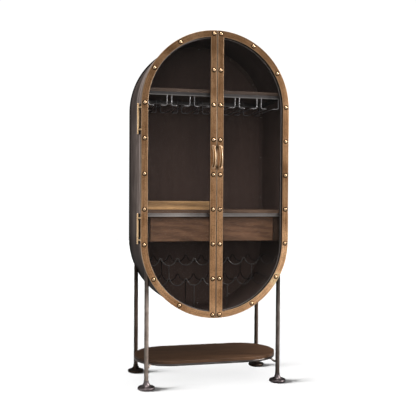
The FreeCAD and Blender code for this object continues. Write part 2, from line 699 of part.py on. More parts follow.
def hinge_leaf(side, z):
    """The fixed half of one hinge: a knuckle, a lug and a leaf screwed to the shell's side."""
    x, y = side * HINGE_X, HINGE_Y
    half = FIXED_KNUCKLE / 2
    skin = side * (SHELL_RADIUS + WELD_GAP)
    knuckle = rod_z(x, y, KNUCKLE_RADIUS, z - half, z + half)
    lug = box(x, skin, y - FIXED_LUG / 2, y + FIXED_LUG / 2, z - half, z + half)
    leaf = box(skin + side * LEAF_THICKNESS, skin, y - FIXED_LEAF_FRONT,
               y - FIXED_LEAF_FRONT + FIXED_LEAF_DEPTH, z - half, z + half)
    bore = rod_z(x, y, HINGE_PIN_RADIUS + HINGE_PIN_FIT, z - half, z + half)
    return join(knuckle, lug, leaf).cut(Part.makeCompound([bore] + hinge_screw_holes(side)))


def hinge_screw_places():
    """Depth and height of the screws in the leaves on one side."""
    y = HINGE_Y + (FIXED_LUG / 2 + FIXED_LEAF_DEPTH - FIXED_LEAF_FRONT) / 2
    half = HINGE_SCREW_SPACING / 2
    return [(y, z + dz) for z in HINGE_HEIGHTS for dz in (-half, half)]


def hinge_screw_holes(side):
    start = V(side * (SHELL_RADIUS + WELD_GAP + LEAF_THICKNESS), 0, 0)
    length = LEAF_THICKNESS + WELD_GAP + SHELL_WALL
    return [Part.makeCylinder(SCREW_RADIUS + SCREW_FIT, length, start + V(0, y, z), V(-side, 0, 0))
            for y, z in hinge_screw_places()]


def hinge_screws(side):
    """Screws driven in from outside, through a leaf and the shell's side."""
    model = screw(LEAF_THICKNESS + WELD_GAP + SHELL_WALL + SCREW_GRIP)
    if side > 0:
        model.rotate(V(0, 0, 0), V(0, 0, 1), 180)
    outside = side * (SHELL_RADIUS + WELD_GAP + LEAF_THICKNESS)
    return [model.translated(V(outside, y, z)) for y, z in hinge_screw_places()]


def hinge_pin(side, z):
    """A pin through all three knuckles, with a ball finial at each end."""
    x, y = side * HINGE_X, HINGE_Y
    reach = FIXED_KNUCKLE / 2 + KNUCKLE_GAP + DOOR_KNUCKLE + KNUCKLE_GAP + FINIAL_NECK
    shaft = rod_z(x, y, HINGE_PIN_RADIUS, z - reach, z + reach)
    sit = math.sqrt(FINIAL_RADIUS ** 2 - HINGE_PIN_RADIUS ** 2)
    balls = [Part.makeSphere(FINIAL_RADIUS, V(x, y, z + way * (reach + sit))) for way in (-1, 1)]
    return join(shaft, *balls)


def knuckle_heights():
    """Lower end of each door knuckle, over both hinges of a door."""
    above = FIXED_KNUCKLE / 2 + KNUCKLE_GAP
    return [z + start for z in HINGE_HEIGHTS for start in (above, -above - DOOR_KNUCKLE)]


def door_leaf(side, z, fit):
    """The leaf that is let into the door's edge, or its pocket when given a fit."""
    edge = side * DOOR_RADIUS
    middle = z + DOOR_KNUCKLE / 2
    half = DOOR_LEAF_HEIGHT / 2 + fit
    return box(edge, edge - side * (LEAF_THICKNESS + fit), CORE_Y + LEAF_EDGE - fit,
               DOOR_BACK_Y - LEAF_EDGE + fit, middle - half, middle + half)


def door_knuckle(side, z):
    """One door knuckle with its flat arm and the leaf at the arm's end."""
    x, y = side * HINGE_X, HINGE_Y
    edge = side * DOOR_RADIUS
    arm_z = z + (DOOR_KNUCKLE - HINGE_ARM) / 2
    corners = [
        V(x + side * HINGE_PIN_RADIUS, y, arm_z), V(x - side * HINGE_PIN_RADIUS, y, arm_z),
        V(edge, DOOR_BACK_Y - LEAF_EDGE, arm_z), V(edge, CORE_Y + LEAF_EDGE, arm_z),
        V(edge + side * LEAF_EDGE, CORE_Y + LEAF_EDGE, arm_z), V(x + side * HINGE_PIN_RADIUS, y, arm_z),
    ]
    arm = Part.Face(Part.makePolygon(corners)).extrude(V(0, 0, HINGE_ARM))
    barrel = rod_z(x, y, KNUCKLE_RADIUS, z, z + DOOR_KNUCKLE)
    bore = rod_z(x, y, HINGE_PIN_RADIUS + HINGE_PIN_FIT, z, z + DOOR_KNUCKLE)
    return join(barrel, arm, door_leaf(side, z, 0)).cut(bore)


def magnet_places():
    """Centres of the catches, at the top and bottom of each meeting stile."""
    r = (RING_INNER + SHELL_INNER) / 2
    rise = math.sqrt(r ** 2 - STILE_X ** 2)
    return [(side * STILE_X, z) for side in SIDES.values() for z in (SPRING_TOP_Z + rise, SPRING_BOTTOM_Z - rise)]


def door_magnets():
    return [rod_y(x, z, MAGNET_RADIUS, DOOR_BACK_Y + MAGNET_GAP, SHELL_FRONT_Y + MAGNET_TAIL)
            for x, z in magnet_places()]


# Doors

def rivet_places(side):
    """Rivet centres on one door: outer stile, arcs, corners and meeting stile."""
    r = DOOR_RADIUS - DOOR_BORDER / 2
    places = []
    for i in range(STILE_RIVETS):
        places.append((r, MIDDLE_Z + (i - (STILE_RIVETS - 1) / 2) * RIVET_PITCH))
    for i in range(MEETING_RIVETS):
        places.append((STILE_X, MIDDLE_Z + (i - (MEETING_RIVETS - 1) / 2) * RIVET_PITCH))
    corner = math.degrees(math.acos(STILE_X / r))
    for angle in ARC_RIVET_ANGLES + (corner,):
        x, rise = r * math.cos(math.radians(angle)), r * math.sin(math.radians(angle))
        places.append((x, SPRING_TOP_Z + rise))
        places.append((x, SPRING_BOTTOM_Z - rise))
    return [(side * x, z) for x, z in places]


def rivet():
    """A dome-headed rivet along +Y, with its head seated at the origin."""
    bulge = (RIVET_RADIUS ** 2 + RIVET_HEIGHT ** 2) / (2 * RIVET_HEIGHT)
    lean = math.asin(RIVET_RADIUS / bulge) / 2
    shoulder = V(bulge * math.sin(lean), bulge - RIVET_HEIGHT - bulge * math.cos(lean), 0)
    edges = [
        arc(V(0, -RIVET_HEIGHT, 0), shoulder, V(RIVET_RADIUS, 0, 0)),
        line(V(RIVET_RADIUS, 0, 0), V(RIVET_SHANK, 0, 0)),
        line(V(RIVET_SHANK, 0, 0), V(RIVET_SHANK, RIVET_SHANK_LENGTH, 0)),
        line(V(RIVET_SHANK, RIVET_SHANK_LENGTH, 0), V(0, RIVET_SHANK_LENGTH, 0)),
        line(V(0, RIVET_SHANK_LENGTH, 0), V(0, -RIVET_HEIGHT, 0)),
    ]
    return Part.Face(Part.Wire(edges)).revolve(V(0, 0, 0), V(0, 1, 0), 360)


def door_rivets(side):
    model = rivet()
    return [model.translated(V(x, FACE_Y, z)) for x, z in rivet_places(side)]


def handle_heights():
    """Heights of a handle's two ends, midway between two rivets above the middle."""
    middle = MIDDLE_Z + RIVET_PITCH / 2
    reach = HANDLE_LENGTH / 2 - HANDLE_PAD_RADIUS
    return [middle - reach, middle + reach]


def door_holes(side):
    """Holes for the rivets and the handle's studs, through the face and into the core."""
    holes = [rod_y(x, z, RIVET_SHANK + RIVET_FIT, FACE_Y, FACE_Y + RIVET_SHANK_LENGTH + RIVET_FIT)
             for x, z in rivet_places(side)]
    for z in handle_heights():
        holes.append(rod_y(side * STILE_X, z, HANDLE_STUD + RIVET_FIT,
                           FACE_Y, FACE_Y + HANDLE_STUD_LENGTH + RIVET_FIT))
    return Part.makeCompound(holes)


def door_face(side):
    """The brass face of one door frame."""
    plate = half_stadium(side, 0, FACE_Y, CORE_Y).cut(half_stadium(side, DOOR_BORDER, FACE_Y, CORE_Y))
    return rounded(plate, FACE_EDGE_ROUND, at_front(FACE_Y)).cut(door_holes(side))


def door_core(side):
    """The steel frame behind the face, rebated for the glass and pocketed for the hinge leaves."""
    frame = half_stadium(side, 0, CORE_Y, DOOR_BACK_Y).cut(half_stadium(side, CORE_BORDER, CORE_Y, DOOR_BACK_Y))
    pockets = [door_leaf(side, z, LEAF_FIT) for z in knuckle_heights()]
    return frame.cut(Part.makeCompound(pockets)).cut(door_holes(side))


def door_glass(side):
    return half_stadium(side, CORE_BORDER + GLASS_FIT, CORE_Y, CORE_Y + GLASS_THICKNESS)


def glass_bead(side):
    """The bead that holds the glass against the back of the face."""
    y0 = CORE_Y + GLASS_THICKNESS
    y1 = y0 + BEAD_DEPTH
    outer = half_stadium(side, CORE_BORDER + BEAD_FIT, y0, y1)
    return outer.cut(half_stadium(side, DOOR_BORDER - BEAD_SETBACK, y0, y1))


def door_handle(side):
    """A bow of oval section that springs from two round pads, with a stud behind each."""
    x = side * STILE_X
    low, high = handle_heights()
    crest = FACE_Y - HANDLE_REACH + HANDLE_THICKNESS / 2
    path = arc(V(x, FACE_Y, low), V(x, crest, (low + high) / 2), V(x, FACE_Y, high))
    tangent = path.tangentAt(path.FirstParameter)
    oval = Part.Ellipse(V(0, 0, 0), HANDLE_WIDTH / 2, HANDLE_THICKNESS / 2).toShape()
    oval.Placement = FreeCAD.Placement(V(x, FACE_Y, low), FreeCAD.Rotation(V(1, 0, 0), V(0, 0, 0), tangent, "ZXY"))
    bow = Part.Wire([path]).makePipeShell([Part.Wire([oval])], True, True)
    behind = box(x - DOOR_BORDER, x + DOOR_BORDER, FACE_Y, DOOR_BACK_Y, low - HANDLE_LENGTH, high + HANDLE_LENGTH)
    pieces = [bow.cut(behind)]
    for z in (low, high):
        pieces.append(rod_y(x, z, HANDLE_PAD_RADIUS, FACE_Y - HANDLE_PAD, FACE_Y))
        pieces.append(rod_y(x, z, HANDLE_STUD, FACE_Y, FACE_Y + HANDLE_STUD_LENGTH))
    return join(*pieces)


# Every piece, written out under its own name

def save_cabinet():
    for name, side in SIDES.items():
        save(f"shell_top_{name}", shell_quarter(side, 1))
        save(f"shell_bottom_{name}", shell_quarter(side, -1))
    save("shell_sides", *[shell_side(side) for side in SIDES.values()])
    save("front_ring_top", *front_ring(SPRING_TOP_Z, SPRING_TOP_Z + DOOR_RADIUS))
    save("front_ring_bottom", *front_ring(SPRING_BOTTOM_Z - DOOR_RADIUS, SPRING_BOTTOM_Z))
    save("front_ring_sides", *front_ring(SPRING_BOTTOM_Z, SPRING_TOP_Z))
    save("rear_ring", rear_ring())
    save("back_panel", back_panel())
    save("back_panel_screws", *back_panel_screws())
    save("upper_shelf", shelf(UPPER_BOARD_Z))
    save("main_shelf", shelf(MAIN_BOARD_Z))
    save("shelf_rails", *shelf_rails(UPPER_BOARD_Z), *shelf_rails(MAIN_BOARD_Z))
    save("shelf_cleats", *shelf_cleats(UPPER_BOARD_Z), *shelf_cleats(MAIN_BOARD_Z))
    for channel in range(STEM_CHANNELS):
        save(f"stemware_rack_{channel + 1}", *stemware_rack(channel))
    save("serving_board", serving_board())
    case_starts = (-CASE_X, -CASE_PANEL / 2, CASE_X - CASE_PANEL)
    stiles = [case_stile(side) for side in SIDES.values()]
    save("drawer_case", *[case_panel(x, x + CASE_PANEL) for x in case_starts], *stiles)
    save("drawer_channels", *[drawer_channel(x, way) for x, way in channel_walls()])
    for place, y in (("front", WINE_FRONT_Y), ("rear", WINE_REAR_Y)):
        save(f"wine_rack_{place}_upper", scalloped_wire(wine_cells(WINE_UPPER_Z, False), WINE_UPPER_Z, y))
        save(f"wine_rack_{place}_lower", lower_tier(y))
    save("wine_rack_ties", *wine_ties())
    save("hinge_leaves", *[hinge_leaf(side, z) for side in SIDES.values() for z in HINGE_HEIGHTS])
    save("hinge_pins", *[hinge_pin(side, z) for side in SIDES.values() for z in HINGE_HEIGHTS])
    save("hinge_screws", *[one for side in SIDES.values() for one in hinge_screws(side)])
    save("door_magnets", *door_magnets())


def save_stand():
    places = []
    for name, y in (("front", LEG_FRONT_Y), ("rear", LEG_REAR_Y)):
        pair = [(side * LEG_X, y) for side in SIDES.values()]
        save(f"{name}_legs", *[leg(x, y) for x, y in pair])
        places.extend(pair)
    model = foot()
    save("feet", *[model.translated(V(x, y, 0)) for x, y in places])
    save("foot_pads", *[rod_z(x, y, FOOT_PAD_RADIUS, 0, FOOT_PAD) for x, y in places])
    save("lower_shelf", lower_shelf())
    save("lower_shelf_ring", lower_shelf_ring())
    save("lower_shelf_brackets", *[lower_shelf_bracket(x, y) for x, y in places])


def save_door(name, side):
    save(f"{name}_door_core", door_core(side))
    save(f"{name}_door_face", door_face(side))
    save(f"{name}_door_glass", door_glass(side))
    save(f"{name}_glass_bead", glass_bead(side))
    save(f"{name}_door_rivets", *door_rivets(side))
    save(f"{name}_handle", door_handle(side))
    save(f"{name}_hinge_knuckles", *[door_knuckle(side, z) for z in knuckle_heights()])


def save_drawer(name, side):
    save(f"{name}_drawer_front", drawer_front(side))
    save(f"{name}_drawer_box", *drawer_box(side))
    save(f"{name}_drawer_runners", *[drawer_runner(x, way) for x, way in channel_walls() if x * side > 0])


os.makedirs("parts", exist_ok=True)
save_cabinet()
save_stand()
for side_name, side_sign in SIDES.items():
    save_door(side_name, side_sign)
    save_drawer(side_name, side_sign)
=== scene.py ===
import math

import bpy
import numpy as np
from mathutils import Matrix, Vector


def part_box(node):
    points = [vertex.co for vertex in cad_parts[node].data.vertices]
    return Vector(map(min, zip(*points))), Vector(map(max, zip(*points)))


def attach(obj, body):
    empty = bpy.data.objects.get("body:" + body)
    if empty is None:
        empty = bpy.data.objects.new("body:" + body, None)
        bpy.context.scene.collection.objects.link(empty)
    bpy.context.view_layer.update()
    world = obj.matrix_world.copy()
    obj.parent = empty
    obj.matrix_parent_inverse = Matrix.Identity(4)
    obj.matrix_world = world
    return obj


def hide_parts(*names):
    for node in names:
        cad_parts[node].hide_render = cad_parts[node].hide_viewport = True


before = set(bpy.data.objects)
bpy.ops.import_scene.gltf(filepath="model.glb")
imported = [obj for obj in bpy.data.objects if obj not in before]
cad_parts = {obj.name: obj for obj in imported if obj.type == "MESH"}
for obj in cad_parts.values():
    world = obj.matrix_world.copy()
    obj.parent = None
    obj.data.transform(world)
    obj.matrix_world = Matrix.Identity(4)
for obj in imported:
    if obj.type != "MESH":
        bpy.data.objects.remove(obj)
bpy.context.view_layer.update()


# Barrel shell: sheet steel rolled round a stadium and welded where the rolls meet the flat sides. It is
# brushed along its length, browned to gunmetal outside and blackened inside, with painted shade that
# deepens round the lower bend and toward the back edge. Its cut edges show at front and back.

def stadium(radius, first, second, steps):
    """Round a stadium in a plane, from the far middle of its second end: a quarter circle about the
    second spring line, a half circle about the first, and a quarter about the second again. Each point is
    radius times the cosine of its angle across, and its spring line plus radius times the sine along.
    Rows follow the outline, columns the radii."""
    quarter = np.linspace(0, np.pi / 2, steps // 2 + 1)
    turn = np.concatenate([quarter - np.pi / 2, np.linspace(0, np.pi, steps), np.pi + quarter[:-1]])
    spring = np.repeat([second, first, second], [len(quarter), steps, len(quarter) - 1])
    return np.outer(np.cos(turn), radius), spring[:, None] + np.outer(np.sin(turn), radius)


def rounded_section(width, height, rounding, steps=5):
    """A rectangle from (0, 0) to (width, height), taken as complex numbers. Each corner is a quarter
    circle about its centre, turned by a power of i, with a point just along each flat so that the flats
    shade flat."""
    hold = rounding / 3
    bend = rounding * np.exp(1j * np.linspace(0, np.pi / 2, steps))
    corner = np.concatenate([[rounding - 1j * hold], bend, [1j * rounding - hold]])
    far = width - rounding + 1j * (height - rounding)
    near = rounding + 1j * rounding
    centres = np.array([far, near.real + 1j * far.imag, near, far.real + 1j * near.imag])
    loop = (centres[:, None] + corner * 1j ** np.arange(4)[:, None]).ravel()
    return loop.real, loop.imag


def surface(rings, closed=False):
    """A skin over a grid of points: rows are rings, each a closed loop, and quads join neighbours. The
    rings close on each other, or the first and last are capped. UV is the length along and round the
    rings, in metres. The sign of the enclosed volume, a sum of corner triple products, says whether the
    faces have to be turned."""
    rows, columns = rings.shape[:2]
    spans = rows if closed else rows - 1
    along = np.linalg.norm(np.diff(rings, axis=0, append=rings[:1]), axis=2).mean(1)
    along = np.concatenate([[0], np.cumsum(along)])
    around = np.linalg.norm(np.diff(rings, axis=1, append=rings[:, :1]), axis=2).max(0)
    around = np.concatenate([[0], np.cumsum(around)])
    row, column = (index.ravel() for index in np.indices((spans, columns)))
    near, far, beside = row * columns, (row + 1) % rows * columns, (column + 1) % columns
    quads = np.stack([near + column, far + column, far + beside, near + beside], 1)
    u = np.stack([along[row], along[row + 1], along[row + 1], along[row]], 1)
    v = np.stack([around[column], around[column], around[column + 1], around[column + 1]], 1)
    ring = np.arange(columns)
    caps = np.zeros((0, columns), int) if closed else np.stack([ring, ring[::-1] + (rows - 1) * columns])
    points = rings.reshape(-1, 3)
    a, b, c, d = (points[quads[:, i]] for i in range(4))
    volume = (a * (np.cross(b, c) + np.cross(c, d))).sum()
    fans = points[caps]
    volume += (fans[:, :1] * np.cross(fans[:, 1:-1], fans[:, 2:])).sum()
    way = 1 if volume > 0 else -1
    uv = np.stack([u, v], 2)[:, ::way]
    return points, quads[:, ::way], uv.reshape(-1, 2), caps[:, ::way]


def make_piece(name, surfaces, finish, body, slot, *replaced):
    """One mesh from several surfaces, with its place in its points. It is shaded smooth, except at edges
    where faces turn by more than the sharp angle."""
    points, faces, uvs, start = [], [], [], 0
    for skin, quads, uv, caps in surfaces:
        points.append(skin)
        faces += (quads + start).tolist() + (caps + start).tolist()
        uvs += [uv, np.zeros((caps.size, 2))]
        start += len(skin)
    mesh = bpy.data.meshes.new(name)
    mesh.from_pydata(np.concatenate(points), [], faces)
    mesh.uv_layers.new(name="UVMap").data.foreach_set("uv", np.concatenate(uvs).astype(np.float32).ravel())
    mesh.polygons.foreach_set("use_smooth", np.ones(len(mesh.polygons), bool))
    mesh.set_sharp_from_angle(angle=math.radians(SHARP_DEGREES))
    mesh.materials.append(finish)
    piece = bpy.data.objects.new(name, mesh)
    bpy.context.scene.collection.objects.link(piece)
    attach(piece, body)
    if replaced:
        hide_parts(*replaced)
    return piece


def hoop(radius, y, lift=0.0):
    """A skin round the barrel's outline. The points of its section are given by radius and depth, and may
    be lifted."""
    x, z = stadium(radius, SPRING_TOP, SPRING_BOTTOM, ARC_STEPS)
    return surface(np.stack(np.broadcast_arrays(x, y, z + lift), 2), closed=True)


class Graph:
    """The shader nodes of a material or of the world, with short ways to add to them."""

    def __init__(self, owner):
        owner.use_nodes = True
        self.nodes = owner.node_tree.nodes
        self.links = owner.node_tree.links

    def node(self, kind, sockets, output=0, **settings):
        """A node with those settings. Its sockets take numbers, colours or other nodes' outputs."""
        made = self.nodes.new("ShaderNode" + kind)
        for name, value in settings.items():
            setattr(made, name, value)
        for name, value in sockets.items():
            self.feed(made.inputs[name], value)
        return made.outputs[output]

    def feed(self, socket, value):
        """A socket takes another node's output as a link, and anything else as a constant."""
        if isinstance(value, bpy.types.NodeSocket):
            self.links.new(value, socket)
        else:
            socket.default_value = value

    def span(self, value, low, high, start=0.0, end=1.0, **settings):
        """A value that runs from start to end, turned to run from low to high and to stop there."""
        sockets = {"Value": value, "From Min": start, "From Max": end, "To Min": low, "To Max": high}
        return self.node("MapRange", sockets, **settings)


class Finish(Graph):
    """One surface finish: a shader, and the texture nodes that are added to feed it."""

    def __init__(self, name, **constants):
        self.material = bpy.data.materials.new(name)
        super().__init__(self.material)
        self.shader = self.nodes["Principled BSDF"]
        for socket, value in constants.items():
            self.shader.inputs[socket.replace("_", " ")].default_value = value

    def place(self, source="Object", stretch=(1, 1, 1)):
        """Object or UV coordinates in metres, times a stretch along each axis."""
        return self.node("Mapping", {"Vector": self.node("TexCoord", {}, source), "Scale": stretch})

    def along(self, axis):
        """How far a point lies along one axis, in metres."""
        return self.node("SeparateXYZ", {"Vector": self.place()}, axis)

    def stored(self, name):
        """The number that each point of a piece holds by that name."""
        return self.node("Attribute", {}, "Fac", attribute_name=name)

    def reckon(self, operation, *values):
        """One step of arithmetic on one or two values."""
        return self.node("Math", dict(enumerate(values)), operation=operation)

    def noise(self, place, scale, detail, distortion=0.0):
        """Cloudy noise of a scale in waves to the metre, in a place that may be stretched."""
        sockets = {"Vector": place, "Scale": scale, "Detail": detail, "Distortion": distortion}
        return self.node("TexNoise", sockets)

    def ramp(self, share, *stops):
        """A colour, or a grey, for each share given as a stop, blended between stops."""
        output = self.node("ValToRGB", {"Fac": share})
        band = output.node.color_ramp
        for _ in stops[2:]:
            band.elements.new(0.5)
        for element, (position, colour) in zip(band.elements, stops):
            element.position = position
            element.color = (*colour, 1) if isinstance(colour, tuple) else (colour, colour, colour, 1)
        return output

    def mix(self, share, first, second, blend="MIX"):
        """Two colours blended by a share."""
        return self.node("MixRGB", {"Fac": share, "Color1": first, "Color2": second}, blend_type=blend)

    def tint(self, colour, by, share=1.0):
        """A colour times another, or times a grey, by a share."""
        return self.mix(share, colour, by, "MULTIPLY")

    def patch(self, centre, reach):
        """A share that is one at a point and eases to nothing at a reach from it."""
        away = self.node("VectorMath", {0: self.place(), 1: centre}, "Value", operation="DISTANCE")
        return self.span(away, 0.0, 1.0, reach, 0.0, interpolation_type="SMOOTHSTEP")

    def brushed(self, deep, bare, source, stretch, clouds=7.0):
        """Fine brush lines, which are noise drawn out along the brushing, and the colour that they make
        with soft clouds of heavier browning."""
        lines = self.noise(self.place(source, stretch), 1.0, 4.0)
        cloud = self.noise(self.place(source), clouds, 4.0, 0.6)
        return lines, self.ramp(self.mix(0.55, lines, cloud), (0.30, deep), (0.72, bare))

    def wear(self, colour, roughness, height, depth):
        """Colour, roughness and a bump of that depth in metres go to the shader."""
        self.feed(self.shader.inputs["Base Color"], colour)
        self.feed(self.shader.inputs["Roughness"], roughness)
        bump = self.node("Bump", {"Height": height, "Distance": depth, "Strength": 1.0})
        self.feed(self.shader.inputs["Normal"], bump)
        return self.material


def second_finish(piece, finish, faces):
    """Give a piece another finish on the faces that are picked. The picks of one ring serve for every
    ring."""
    piece.data.materials.append(finish)
    picks = np.resize(faces, len(piece.data.polygons))
    piece.data.polygons.foreach_set("material_index", picks.astype(np.int32))


SHARP_DEGREES = 40
SHELL_WALL = 0.003
SHELL_EDGE = 0.0008
ARC_STEPS = 97
side_low, side_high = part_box("shell_sides")
SHELL_RADIUS = side_high.x
SHELL_INNER = SHELL_RADIUS - SHELL_WALL
SPRING_TOP, SPRING_BOTTOM = side_high.z, side_low.z
ALONG_UV = (14, 900, 1)
SHELL_SHADE_LOW = SPRING_BOTTOM - 0.25
SHELL_SHADE_HIGH = SPRING_BOTTOM + 0.16

SHEEN = (0.42, 0.32, 0.27, 1)
finish = Finish("gunmetal", Metallic=0.4, Specular_IOR_Level=0.1, Specular_Tint=SHEEN)
lines = finish.noise(finish.place("UV", ALONG_UV), 1.0, 4.0)
streaks = finish.noise(finish.place("UV", (1.2, 20, 1)), 1.0, 6.0, 0.3)
cloud = finish.noise(finish.place(), 6.0, 5.0, 0.8)
tone = finish.mix(0.25, finish.mix(0.8, lines, streaks), cloud)
colour = finish.ramp(tone, (0.36, (0.115, 0.089, 0.077)), (0.50, (0.340, 0.271, 0.240)),
                     (0.64, (0.76, 0.63, 0.57)))
# Painted shade: darker toward the back edge, and round the lower bend below.
back = finish.span(finish.along("Y"), 0, 1, side_low.y, side_high.y)
colour = finish.tint(colour, finish.ramp(back, (0.0, 1.0), (0.3, 0.54), (0.80, 0.24), (1.0, 0.21)))
bend_shade = finish.span(finish.along("Z"), 0, 1, SHELL_SHADE_LOW, SHELL_SHADE_HIGH)
colour = finish.tint(colour, finish.ramp(bend_shade, (0.0, 0.03), (0.55, 0.40), (1.0, 1.0)))
gunmetal = finish.wear(colour, finish.span(streaks, 0.48, 0.62), lines, 0.00006)

finish = Finish("blackened_steel", Metallic=0.2, Specular_IOR_Level=0.2)
lines = finish.noise(finish.place("UV", ALONG_UV), 1.0, 4.0)
cloud = finish.noise(finish.place("UV"), 7.0, 4.0, 0.6)
tone = finish.mix(0.55, lines, cloud)
colour = finish.ramp(tone, (0.3, (0.048, 0.032, 0.0265)), (0.7, (0.084, 0.057, 0.048)))
shell_inside = finish.wear(colour, finish.span(lines, 0.6, 0.75), lines, 0.00006)
across, depth = rounded_section(SHELL_WALL, side_high.y - side_low.y, SHELL_EDGE)
skin = hoop(SHELL_INNER + across, side_low.y + depth)
shell = make_piece("barrel_shell", [skin], gunmetal, "cabinet", "gunmetal", "shell_sides", "shell_top_left",
                   "shell_top_right", "shell_bottom_left", "shell_bottom_right")
inside = (across < SHELL_EDGE / 2) & (np.roll(across, -1) < SHELL_EDGE / 2)
second_finish(shell, shell_inside, inside)


# Rear flange: a thin rim of flat steel bar, lacquered black and bent on edge round the barrel's back. It
# is welded on a little high, so it stands proudest over the top and is almost flush below.

FLANGE_PROUD = 0.006
FLANGE_LIFT = 0.005
FLANGE_THICKNESS = 0.0035
FLANGE_EDGE = 0.0007
finish = Finish("black_lacquer", Specular_IOR_Level=0.12)
specks = finish.noise(finish.place(), 160.0, 3.0)
colour = finish.ramp(specks, (0.3, (0.003, 0.002, 0.002)), (0.7, (0.007, 0.006, 0.005)))
black_lacquer = finish.wear(colour, finish.span(specks, 0.5, 0.7), specks, 0.00004)
across, depth = rounded_section(FLANGE_PROUD, FLANGE_THICKNESS, FLANGE_EDGE)
lift = FLANGE_LIFT * across / FLANGE_PROUD
skin = hoop(SHELL_RADIUS + across, side_high.y - FLANGE_THICKNESS + depth, lift)
make_piece("rear_flange", [skin], black_lacquer, "cabinet", "frame_steel")


# Front ring: a flat steel ring in the barrel's mouth that the doors close against, blackened, with its
# edges eased. A line near its inner edge carries a painted highlight.

def mark(piece, name, values):
    """Store a number for each point of a piece, which a finish reads by that name. The numbers of one
    ring serve for every ring."""
    layer = piece.data.attributes.new(name, "FLOAT", "POINT")
    layer.data.foreach_set("value", np.resize(values, len(layer.data)).astype(np.float32))


MOUTH_RING_WIDTH = 0.043
MOUTH_RING_EDGE = 0.0009
GLINT_LINE = 0.006
GLINT_CORE = 0.0020
GLINT_FADE = 0.0035
low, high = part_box("front_ring_top")
finish = Finish("mouth_ring_steel", Metallic=0.8)
cloud = finish.noise(finish.place(), 30.0, 4.0)
lines = finish.noise(finish.place("UV", (20, 700, 1)), 1.0, 3.0)
# Painted highlight: the share called bare mixes a pale line in near the inner edge.
from_line = finish.reckon("SUBTRACT", finish.stored("inset"), GLINT_LINE)
bare = finish.span(finish.reckon("ABSOLUTE", from_line), 0, 1, GLINT_FADE, GLINT_CORE)
colour = finish.ramp(cloud, (0.3, (0.024, 0.020, 0.018)), (0.7, (0.060, 0.052, 0.047)))
colour = finish.mix(bare, colour, (0.30, 0.255, 0.235, 1))
mouth_finish = finish.wear(colour, finish.span(lines, 0.40, 0.58), lines, 0.00005)
across, depth = rounded_section(MOUTH_RING_WIDTH, high.y - low.y, MOUTH_RING_EDGE)
skin = hoop(SHELL_RADIUS - MOUTH_RING_WIDTH + across, low.y + depth)
ring = make_piece("mouth_ring", [skin], mouth_finish, "cabinet", "frame_steel",
                  "front_ring_top", "front_ring_bottom", "front_ring_sides")
mark(ring, "inset", across)


# Rear ring and cleats: cut from plate and bar, blackened and oiled, and welded to the barrel's wall. The
# back panel is screwed to the ring, and the shelf boards lie on the cleats.

def brushed_steel(name, deep, bare, roughness, source, stretch):
    """Steel with nothing on it but its brush lines and clouds."""
    finish = Finish(name, Metallic=1.0)
    lines, colour = finish.brushed(deep, bare, source, stretch)
    return finish.wear(colour, finish.span(lines, roughness - 0.09, roughness + 0.09), lines, 0.00006)


def dress(finish, *names):
    """Give CAD nodes a finish in place of the colour they came with."""
    for name in names:
        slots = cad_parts[name].data.materials
        slots.clear()
        slots.append(finish)


black_plate = brushed_steel("black_plate", (0.022, 0.020, 0.019), (0.075, 0.068, 0.064), 0.48,
                            "Object", (60, 60, 60))
dress(black_plate, "shelf_cleats")
dress(shell_inside, "rear_ring")


# Back panel: a stadium of board, stained black-brown, its grain upright. It closes the barrel against the
# rear ring, and zinc-plated pan-head screws hold it from behind.

def wood(name, dark, light, along, gloss=0.5, figure=1.0, swirl=0.3, left=1.0, squeeze=0.07):
    """Sawn and oiled wood. The grain runs along one axis, where coordinates are squeezed: bands bent by
    noise are the growth rings, a broad noise gives the figure, a fine one the streaks and a still finer
    one the pores. Toward the left the colour may be darkened, a painted shade."""
    finish = Finish(name, Specular_IOR_Level=0.3)
    place = finish.place("Object", tuple(squeeze if axis == along else 1.0 for axis in "xyz"))
    rings = finish.node("TexWave", {"Vector": place, "Scale": 9.0 * figure, "Distortion": 7.0, "Detail": 4.0,
                                    "Detail Scale": 1.4}, bands_direction="DIAGONAL")
    broad = finish.noise(place, 11.0 * figure, 5.0, 1.1)
    streaks = finish.noise(place, 85.0 * figure, 4.0, 0.4)
    pores = finish.noise(place, 330.0, 2.0)
    tone = finish.mix(swirl, finish.mix(0.5, broad, streaks), rings)
    colour = finish.ramp(tone, (0.25, dark), (0.75, light))
    colour = finish.tint(colour, finish.ramp(pores, (0.34, 0.5), (0.52, 1.0)), 0.6)
    colour = finish.tint(colour, finish.span(finish.along("X"), left, 1, -SHELL_RADIUS, SHELL_RADIUS))
    height = finish.mix(0.7, tone, pores)
    return finish.wear(colour, finish.span(tone, gloss + 0.1, gloss - 0.08), height, 0.0002)


back_board = wood("back_board", (0.055, 0.0341, 0.0276), (0.071, 0.0446, 0.0364), "z", gloss=0.65, swirl=0.1)
zinc = brushed_steel("zinc_plate", (0.24, 0.24, 0.25), (0.46, 0.46, 0.47), 0.36, "Object", (90, 90, 90))
dress(back_board, "back_panel")
dress(zinc, "back_panel_screws", "door_magnets", "drawer_channels", "left_drawer_runners",
      "right_drawer_runners")


# Shelves: two solid boards, the upper one stained dark and the main one redder, with their grain from
# side to side and their front edges eased. They lie on the cleats and the shelf rails.

shelf_wood = wood("dark_shelf", (0.024, 0.0145, 0.010), (0.066, 0.041, 0.028), "x")
main_wood = wood("red_shelf", (0.034, 0.019, 0.012), (0.096, 0.055, 0.034), "x")
dress(shelf_wood, "upper_shelf")
dress(main_wood, "main_shelf")
